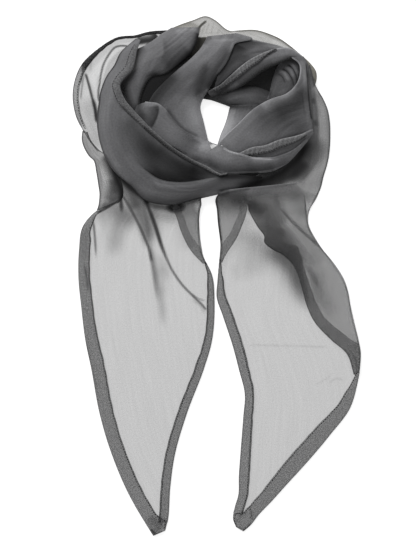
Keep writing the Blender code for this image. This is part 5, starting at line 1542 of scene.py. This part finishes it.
@dataclass
class OuterLoops:
    """The outermost turns of the ring: one sheer layer each, with a rolled hem on the left one."""

    rolled_hem: float = 6.0

    def build(self, bench: Bench) -> None:
        """Lays the loops round the ring, from the left over the top to the right.

        Args:
            bench: where the scarf is laid.
        """
        loop = Stretch(
            "outer_left_loop", OUTER_LEFT_LOOP, (29, 153), layers=0.8, gather=0.15, seed=11,
            left=EdgeLook(0.5, 0, 0.8), creases_and_shading=shaded_creases_of(OUTER_LEFT_LOOP_CREASES_AND_SHADING),
        )
        hem = Hem(
            "outer_left_hem", "outer_left_loop", Side.LEFT, self.rolled_hem, 0.0, 0.84, layers=1.1, stitch_in=1.0,
            seed=12,
            widths=(
                (0, 3.4), (0.15, 2.6), (0.24, 2.2), (0.34, 2.6), (0.42, 3.4), (0.48, 4.2), (0.56, 5.8), (0.65, 6.2),
                (0.85, 5.4), (1, 3.5),
            ),
            ends=(0, 9), wrinkle_shading=0.24, outer=EdgeLook(1.2, 0.5, 0.6), inner=EdgeLook(1.0, -0.3, 0.8),
            creases_and_shading=shaded_creases_of(OUTER_LEFT_HEM_CREASES_AND_SHADING),
        )
        peak = Stretch(
            "back_peak", BACK_PEAK, (35, 75), finish=BACK, layers=1.35, gather=0.2, gather_apart=5, ends=(0, 11),
            seed=13, left=EdgeLook(1.6, -0.2, 0.8), creases_and_shading=shaded_creases_of(BACK_PEAK_CREASES_AND_SHADING),
        )
        back = Stretch(
            "back_loop", BACK_LOOP, (28, 98), finish=BACK, layers=1.25, gather=0.2, gather_apart=5, ends=(11, 0),
            seed=14, left=EdgeLook(2.2, -0.25, 0.9), creases_and_shading=shaded_creases_of(BACK_LOOP_CREASES_AND_SHADING),
        )
        side = Stretch(
            "right_outer", RIGHT_OUTER, (44, 122), layers=1.15, gather=0.3, seed=15, ends=(0, 14),
            left=EdgeLook(1.6, -0.2, 0.9), creases_and_shading=shaded_creases_of(RIGHT_OUTER_CREASES_AND_SHADING),
        )
        loop.settle(bench, hem)
        for stretch in (peak, back, side):
            stretch.settle(bench)


@dataclass
class LeftEnd:
    """The left hanging end: its panel, its two hems, the drape up to the loop and the corner folded back."""

    end_hem: float = 13.5
    side_hem: float = 8.5

    def build(self, bench: Bench) -> None:
        """Lays the panel, then its hems, the drape and the folded corner with its own hem.

        Args:
            bench: where the scarf is laid.
        """
        panel = Stretch(
            "left_tail", LEFT_TAIL, (125, 350), held=Held.LAID, cut_area=31000, gather=0.12, gather_apart=22,
            seed=21, left=EdgeLook(0.2, 0, 0.8), right=EdgeLook(1.2, -0.15, 0.8), spacing=1.15,
            creases_and_shading=shaded_creases_of(LEFT_TAIL_CREASES_AND_SHADING),
        )
        end_hem = Hem(
            "left_tail_end_hem", "left_tail", Side.LEFT, self.end_hem, 0.132, 1.0, layers=1.9, seed=22, share=1.0,
            inner=EdgeLook(1.0, -0.25, 0.9),
            widths=(
                (0, 2.6), (0.02, 3.2), (0.04, 5.4), (0.07, 8.6), (0.1, 10.4), (0.25, 11.3), (0.32, 11.3),
                (0.42, 12.8), (0.6, 13.2), (0.925, 13.2), (0.945, 17), (0.96, 24), (1, 24),
            ),
            creases_and_shading=shaded_creases_of(LEFT_TAIL_END_HEM_CREASES_AND_SHADING),
        )
        side_hem = Hem(
            "left_tail_side_hem", "left_tail", Side.RIGHT, self.side_hem, 0.272, 0.974, layers=2.0, seed=23,
            ends=(0, 3), inner=EdgeLook(1.8, -0.4, 1.0),
            widths=((0, 0.8), (0.04, 3.4), (0.08, 6), (0.15, 7.3), (0.25, 7.3), (0.4, 8.6), (1, 9)),
        )
        drape = Stretch(
            "left_drape", LEFT_DRAPE, (28, 80), rests_on=("left_tail", "hidden_layers"), cut_area=1600, layers=1.8,
            gather=0.3, gather_apart=6, seed=24, left=EdgeLook(1.6, -0.25, 0.9), right=EdgeLook(1.2, -0.3, 0.8),
            last=EdgeLook(1, -0.2, 1.5), creases_and_shading=shaded_creases_of(LEFT_DRAPE_CREASES_AND_SHADING),
        )
        corner = Stretch(
            "left_tail_turnback", LEFT_TAIL_TURNBACK, (20, 50), held=Held.FOLDED, rests_on=("left_tail",),
            cut_area=860, layers=1.1, gather=0.15, seed=25, right=EdgeLook(2.0, -0.3, 0.9),
            creases_and_shading=shaded_creases_of(LEFT_TAIL_TURNBACK_CREASES_AND_SHADING),
        )
        corner_hem = Hem(
            "left_tail_turnback_hem", "left_tail_turnback", Side.LEFT, self.side_hem, 0.0, 1.0, layers=1.0,
            stitch_in=0.0, seed=26, share=1.0, ends=(0, 4), widths=((0, 6), (0.5, 6.8), (0.75, 8.5), (1, 8.5)),
        )
        panel.settle(bench, end_hem, side_hem)
        drape.settle(bench)
        corner.settle(bench, corner_hem)


@dataclass
class InnerLoops:
    """The loops and bands inside the ring, round the neck opening and over its top and right."""

    band_hem: float = 7.5

    def build(self, bench: Bench) -> None:
        """Lays the bands from the lowest to the highest, each hem right after its band.

        Args:
            bench: where the scarf is laid.
        """
        # painted light of each band: below 1 painted shade on the bands deep in the ring and inside the right loop,
        # above 1 painted light, most on the strand by the neck opening and on the hems
        under_top = Stretch(
            "top_inner_band", TOP_INNER_BAND, (20, 70), finish=LAYERED, layers=8, tone=0.6, gather=0.25, seed=31,
            creases_and_shading=shaded_creases_of(TOP_INNER_BAND_CREASES_AND_SHADING),
        )
        hole_strand = Stretch(
            "hole_right_strand", HOLE_RIGHT_STRAND, (26, 42), finish=LAYERED, layers=5.0, tone=1.8, gather=0.35,
            gather_apart=6, seed=32, left=EdgeLook(2.0, -0.5, 0.8), creases_and_shading=shaded_creases_of(HOLE_RIGHT_STRAND_CREASES_AND_SHADING),
        )
        lining = Stretch(
            "right_loop_inside", RIGHT_LOOP_INSIDE, (24, 32), finish=LAYERED, layers=5, tone=0.75, gather=0.3,
            seed=33, creases_and_shading=shaded_creases_of(RIGHT_LOOP_INSIDE_CREASES_AND_SHADING),
        )
        left_strand = Stretch(
            "left_strand", LEFT_STRAND, (30, 95), finish=LAYERED, layers=6, tone=1.05, gather=0.3, gather_apart=8,
            seed=34, right=EdgeLook(1.0, -0.3, 1.5), left=EdgeLook(0.5, 0, 1.0),
            creases_and_shading=shaded_creases_of(LEFT_STRAND_CREASES_AND_SHADING),
        )
        behind = Stretch(
            "top_right_back", TOP_RIGHT_BACK, (22, 68), finish=LAYERED, layers=6, tone=0.95, gather=0.35,
            gather_apart=6, seed=35, left=EdgeLook(0.5, 0.1, 0.8), creases_and_shading=shaded_creases_of(TOP_RIGHT_BACK_CREASES_AND_SHADING),
        )
        band = Stretch(
            "top_right_band", TOP_RIGHT_BAND, (11, 122), rests_on=("top_right_back", "hidden_layers"),
            finish=LAYERED, layers=5, tone=0.85, gather=0.2, gather_apart=5, seed=36, left=EdgeLook(0, 0.6, 0.8),
            right=EdgeLook(0.8, -0.7, 2.6), creases_and_shading=shaded_creases_of(TOP_RIGHT_BAND_CREASES_AND_SHADING),
        )
        band_hem = Hem(
            "top_right_hem", "top_right_band", Side.LEFT, self.band_hem, 0.06, 0.66, layers=5, tone=2.0, seed=37,
            finish=BAND_HEM, outer=EdgeLook(0, 0.8, 0.7), inner=EdgeLook(1.0, -0.65, 0.9), stitch_in=1.2,
            pucker=0.24, wrinkle_shading=0.3, widths=((0, 4), (0.15, 7), (0.45, 8.4), (0.65, 6.8), (0.85, 3.4), (1, 1)),
            creases_and_shading=shaded_creases_of(TOP_RIGHT_HEM_CREASES_AND_SHADING),
        )
        loop = Stretch(
            "right_loop", RIGHT_LOOP, (38, 115), finish=LAYERED, layers=6, tone=1.1, gather=0.2, gather_apart=10,
            seed=38, left=EdgeLook(0, 1.0, 0.5), right=EdgeLook(1, -0.5, 0.6), creases_and_shading=shaded_creases_of(RIGHT_LOOP_CREASES_AND_SHADING),
        )
        lower_band = Stretch(
            "inner_bottom_band", INNER_BOTTOM_BAND, (16, 75), finish=LAYERED, layers=5, tone=1.1, gather=0.2,
            gather_apart=5, seed=39, left=EdgeLook(0, 0.5, 0.8),
        )
        lower_hem = Hem(
            "inner_bottom_hem", "inner_bottom_band", Side.LEFT, self.band_hem, 0.02, 0.9, layers=5, tone=2.3,
            seed=40, finish=BAND_HEM, outer=EdgeLook(0, 0.7, 0.7), inner=EdgeLook(1.0, -0.8, 1.1), stitch_in=1.4,
            pucker=0.2, wrinkle_shading=0.2,
        )
        strand = Stretch(
            "inner_left_strand", INNER_LEFT_STRAND, (36, 220), finish=LAYERED, layers=5, tone=1.15, gather=0.3,
            gather_apart=10, seed=41, left=EdgeLook(0, -0.1, 0.8), right=EdgeLook(2.5, -0.15, 0.6),
            creases_and_shading=shaded_creases_of(INNER_LEFT_STRAND_CREASES_AND_SHADING),
        )
        bulge = Stretch(
            "inner_left_fold", INNER_LEFT_FOLD, (20, 78), held=Held.FOLDED, rests_on=("inner_left_strand",),
            finish=LAYERED, layers=7, tone=1.15, gather=0.2, seed=42, ends=(0, 40), right=EdgeLook(0, 0.1, 0.7),
            creases_and_shading=shaded_creases_of(INNER_LEFT_FOLD_CREASES_AND_SHADING),
        )
        for stretch in (under_top, hole_strand, lining, left_strand, behind):
            stretch.settle(bench)
        band.settle(bench, band_hem)
        loop.settle(bench)
        lower_band.settle(bench, lower_hem)
        for stretch in (strand, bulge):
            stretch.settle(bench)


@dataclass
class FrontBand:
    """The widest band of the ring, over its front, with the stitched hem on its upper edge."""

    band_hem: float = 7.5

    def build(self, bench: Bench) -> None:
        """Lays the band and then its hem.

        Args:
            bench: where the scarf is laid.
        """
        # painted shade darkens the band towards its far end, and its hem is painted twice as light as the band
        band = Stretch(
            "front_band", FRONT_BAND, (46, 215), rests_on=("inner_left_strand", "left_tail"), finish=LAYERED,
            layers=5, tone=1.0, gather=0.25, gather_apart=12, seed=51, left=EdgeLook(0.6, -0.6, 1.1),
            right=EdgeLook(0, 0.2, 0.8), last=EdgeLook(0, -0.85, 14), creases_and_shading=shaded_creases_of(FRONT_BAND_CREASES_AND_SHADING),
        )
        hem = Hem(
            "front_band_hem", "front_band", Side.RIGHT, self.band_hem, 0.03, 0.84, layers=5, tone=2.0, seed=52,
            stitch_in=1.0, finish=BAND_HEM, pucker=0.16, wrinkle_shading=0.16,
            widths=(
                (0, 3), (0.06, 7), (0.22, 7.5), (0.36, 6.6), (0.48, 4.6), (0.6, 3.6), (0.92, 2.6), (1, 0.8),
            ),
            outer=EdgeLook(0, 1.3, 0.45), inner=EdgeLook(0.8, -0.2, 0.8), creases_and_shading=shaded_creases_of(FRONT_BAND_HEM_CREASES_AND_SHADING),
        )
        band.settle(bench, hem)


@dataclass
class RightEnd:
    """The right hanging end: its panel, its hems and the slanted edge and the corner folded over."""

    end_hem: float = 13.5
    side_hem: float = 8.5
    folded_hem: float = 11.5

    def build(self, bench: Bench) -> None:
        """Lays the panel and its hems, then both folded parts with theirs.

        Args:
            bench: where the scarf is laid.
        """
        panel = Stretch(
            "right_tail", RIGHT_TAIL, (129, 340), held=Held.LAID, cut_area=29200, gather=0.12, gather_apart=22,
            seed=61, left=EdgeLook(1.2, -0.15, 0.8), right=EdgeLook(0.6, 0, 0.8), spacing=1.15,
            creases_and_shading=shaded_creases_of(RIGHT_TAIL_CREASES_AND_SHADING),
        )
        end_hem = Hem(
            "right_tail_end_hem", "right_tail", Side.RIGHT, self.end_hem, 0.517, 0.999, layers=2.0, seed=62,
            share=1.0,
            widths=(
                (0, 2.4), (0.03, 4), (0.085, 7.6), (0.155, 11.4), (0.23, 13.4), (0.38, 15.6), (0.52, 16),
                (0.69, 13.7), (0.85, 12), (0.9, 12.6), (0.93, 24), (1, 24),
            ),
            creases_and_shading=shaded_creases_of(RIGHT_TAIL_END_HEM_CREASES_AND_SHADING),
        )
        side_hem = Hem(
            "right_tail_side_hem", "right_tail", Side.LEFT, self.side_hem, 0.222, 0.964, layers=1.8, seed=63,
            ends=(0, 3), inner=EdgeLook(1.8, -0.4, 1.0),
            widths=(
                (0, 1.2), (0.04, 3), (0.08, 5.6), (0.15, 9.4), (0.38, 9.8), (0.54, 8.5), (0.7, 9.5), (0.84, 10.3),
                (0.92, 9), (1, 9),
            ),
        )
        corner = Stretch(
            "right_tail_side_turnback", RIGHT_TAIL_SIDE_TURNBACK, (20, 62), held=Held.FOLDED,
            rests_on=("right_tail",), cut_area=1050, layers=1.0, gather=0.15, seed=64,
            left=EdgeLook(1.8, -0.3, 1.0), ends=(9, 0),
        )
        corner_hem = Hem(
            "right_tail_side_turnback_hem", "right_tail_side_turnback", Side.RIGHT, self.side_hem, 0.15, 1.0,
            layers=1.1, stitch_in=0.0, seed=65, ends=(14, 0), share=1.0,
            widths=((0, 6.6), (0.4, 7.2), (0.7, 8.4), (1, 8.6)),
        )
        fold = Stretch(
            "right_tail_turnback", RIGHT_TAIL_TURNBACK, (38, 172), held=Held.FOLDED, rests_on=("right_tail",),
            layers=1.1, gather=0.15, seed=66, ends=(18, 0), right=EdgeLook(1.4, -0.15, 1.0),
            left=EdgeLook(1.0, -0.25, 0.7), creases_and_shading=shaded_creases_of(RIGHT_TAIL_TURNBACK_CREASES_AND_SHADING),
        )
        fold_hem = Hem(
            "right_tail_turnback_hem", "right_tail_turnback", Side.LEFT, self.folded_hem, 0.14, 1.0, layers=1.6,
            stitch_in=0.0, seed=67, ends=(30, 0), share=1.0,
            widths=(
                (0, 17), (0.11, 17), (0.16, 17), (0.21, 12), (0.26, 9.4), (0.31, 7.8), (0.37, 7.2), (0.44, 7.8),
                (0.52, 8.8), (0.6, 10), (0.7, 11.6), (0.8, 12.6), (0.9, 12.6), (0.96, 20), (1, 20),
            ),
            creases_and_shading=shaded_creases_of(RIGHT_TAIL_TURNBACK_HEM_CREASES_AND_SHADING),
        )
        panel.settle(bench, end_hem, side_hem)
        corner.settle(bench, corner_hem)
        fold.settle(bench, fold_hem)


@dataclass
class Studio:
    """A white table under a plain white room, a large soft lamp and a camera that looks straight down.

    Lengths are in metres; view_height and view_centre are what the camera sees of the table.
    """

    table: float = 4.0
    table_white: str = "ececec"
    table_roughness: float = 0.9
    table_glow: float = 0.72
    room: float = 0.32
    lamp_size: float = 0.9
    lamp_power: float = 16.0
    lamp_at: tuple[float, float, float] = (-0.75, 1.25, 1.15)
    lamp_aim: tuple[float, float, float] = (0.0, 0.05, 0.0)
    camera_height: float = 2.2
    view_height: float = 0.5162
    view_centre: Point = (-0.00803, -0.0015)
    sensor_mm: float = 36.0
    bounces: int = 8
    bounces_through: int = 96

    def build(self) -> None:
        """Sets up the table, the light and the camera."""
        self.build_table()
        self.build_light()
        self.build_camera()

    def build_table(self) -> None:
        """A flat white table top that glows a little, as a lit sheet of white acrylic does."""
        half = self.table / 2
        corners = [(-half, -half, 0), (half, -half, 0), (half, half, 0), (-half, half, 0)]
        mesh = bpy.data.meshes.new("table_top")
        mesh.from_pydata(corners, [], [(0, 1, 2, 3)])
        white, tree, shader = new_material("white_acrylic")
        looks = {"Base Color": (*linear(self.table_white), 1), "Roughness": self.table_roughness}
        looks |= {"Specular IOR Level": 0.0, "Emission Color": (1, 1, 1, 1), "Emission Strength": self.table_glow}
        feed(tree, shader, looks)
        mesh.materials.append(white)
        add_object("table_top", mesh)

    def build_light(self) -> None:
        """An even white room and one large soft lamp from the upper left."""
        world = bpy.data.worlds.new("white_room")
        world.use_nodes = True
        light = {"Color": (1, 1, 1, 1), "Strength": self.room}
        feed(world.node_tree, world.node_tree.nodes["Background"], light)
        bpy.context.scene.world = world
        lamp = bpy.data.lights.new("soft_lamp", "AREA")
        lamp.shape, lamp.size, lamp.energy = "DISK", self.lamp_size, self.lamp_power
        held = add_object("soft_lamp", lamp)
        held.location = self.lamp_at
        away = np.array(self.lamp_at) - np.array(self.lamp_aim)
        tilt = np.arctan2(np.hypot(away[0], away[1]), away[2])
        held.rotation_euler = (tilt, 0, np.arctan2(away[0], -away[1]))

    def build_camera(self) -> None:
        """A long lens over the scarf, level with its middle."""
        lens = bpy.data.cameras.new("camera")
        lens.sensor_fit, lens.sensor_height = "VERTICAL", self.sensor_mm
        lens.lens = self.sensor_mm * self.camera_height / self.view_height
        camera = add_object("camera", lens)
        camera.location = (*self.view_centre, self.camera_height)
        scene = bpy.context.scene
        scene.camera = camera
        scene.view_settings.view_transform = "Standard"
        scene.cycles.transparent_max_bounces = self.bounces_through
        scene.cycles.max_bounces = self.bounces


def main() -> None:
    """Builds the scarf's looks in laying order, then the studio."""
    logging.basicConfig(level=logging.INFO, format="%(message)s", stream=sys.stdout)
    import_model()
    bench = Bench()
    for assembly in (HiddenLayers(), OuterLoops(), LeftEnd(), InnerLoops(), FrontBand(), RightEnd()):
        assembly.build(bench)
        LOG.info("%s is laid", type(assembly).__name__)
    Studio().build()


if __name__ == "__main__":
    main()
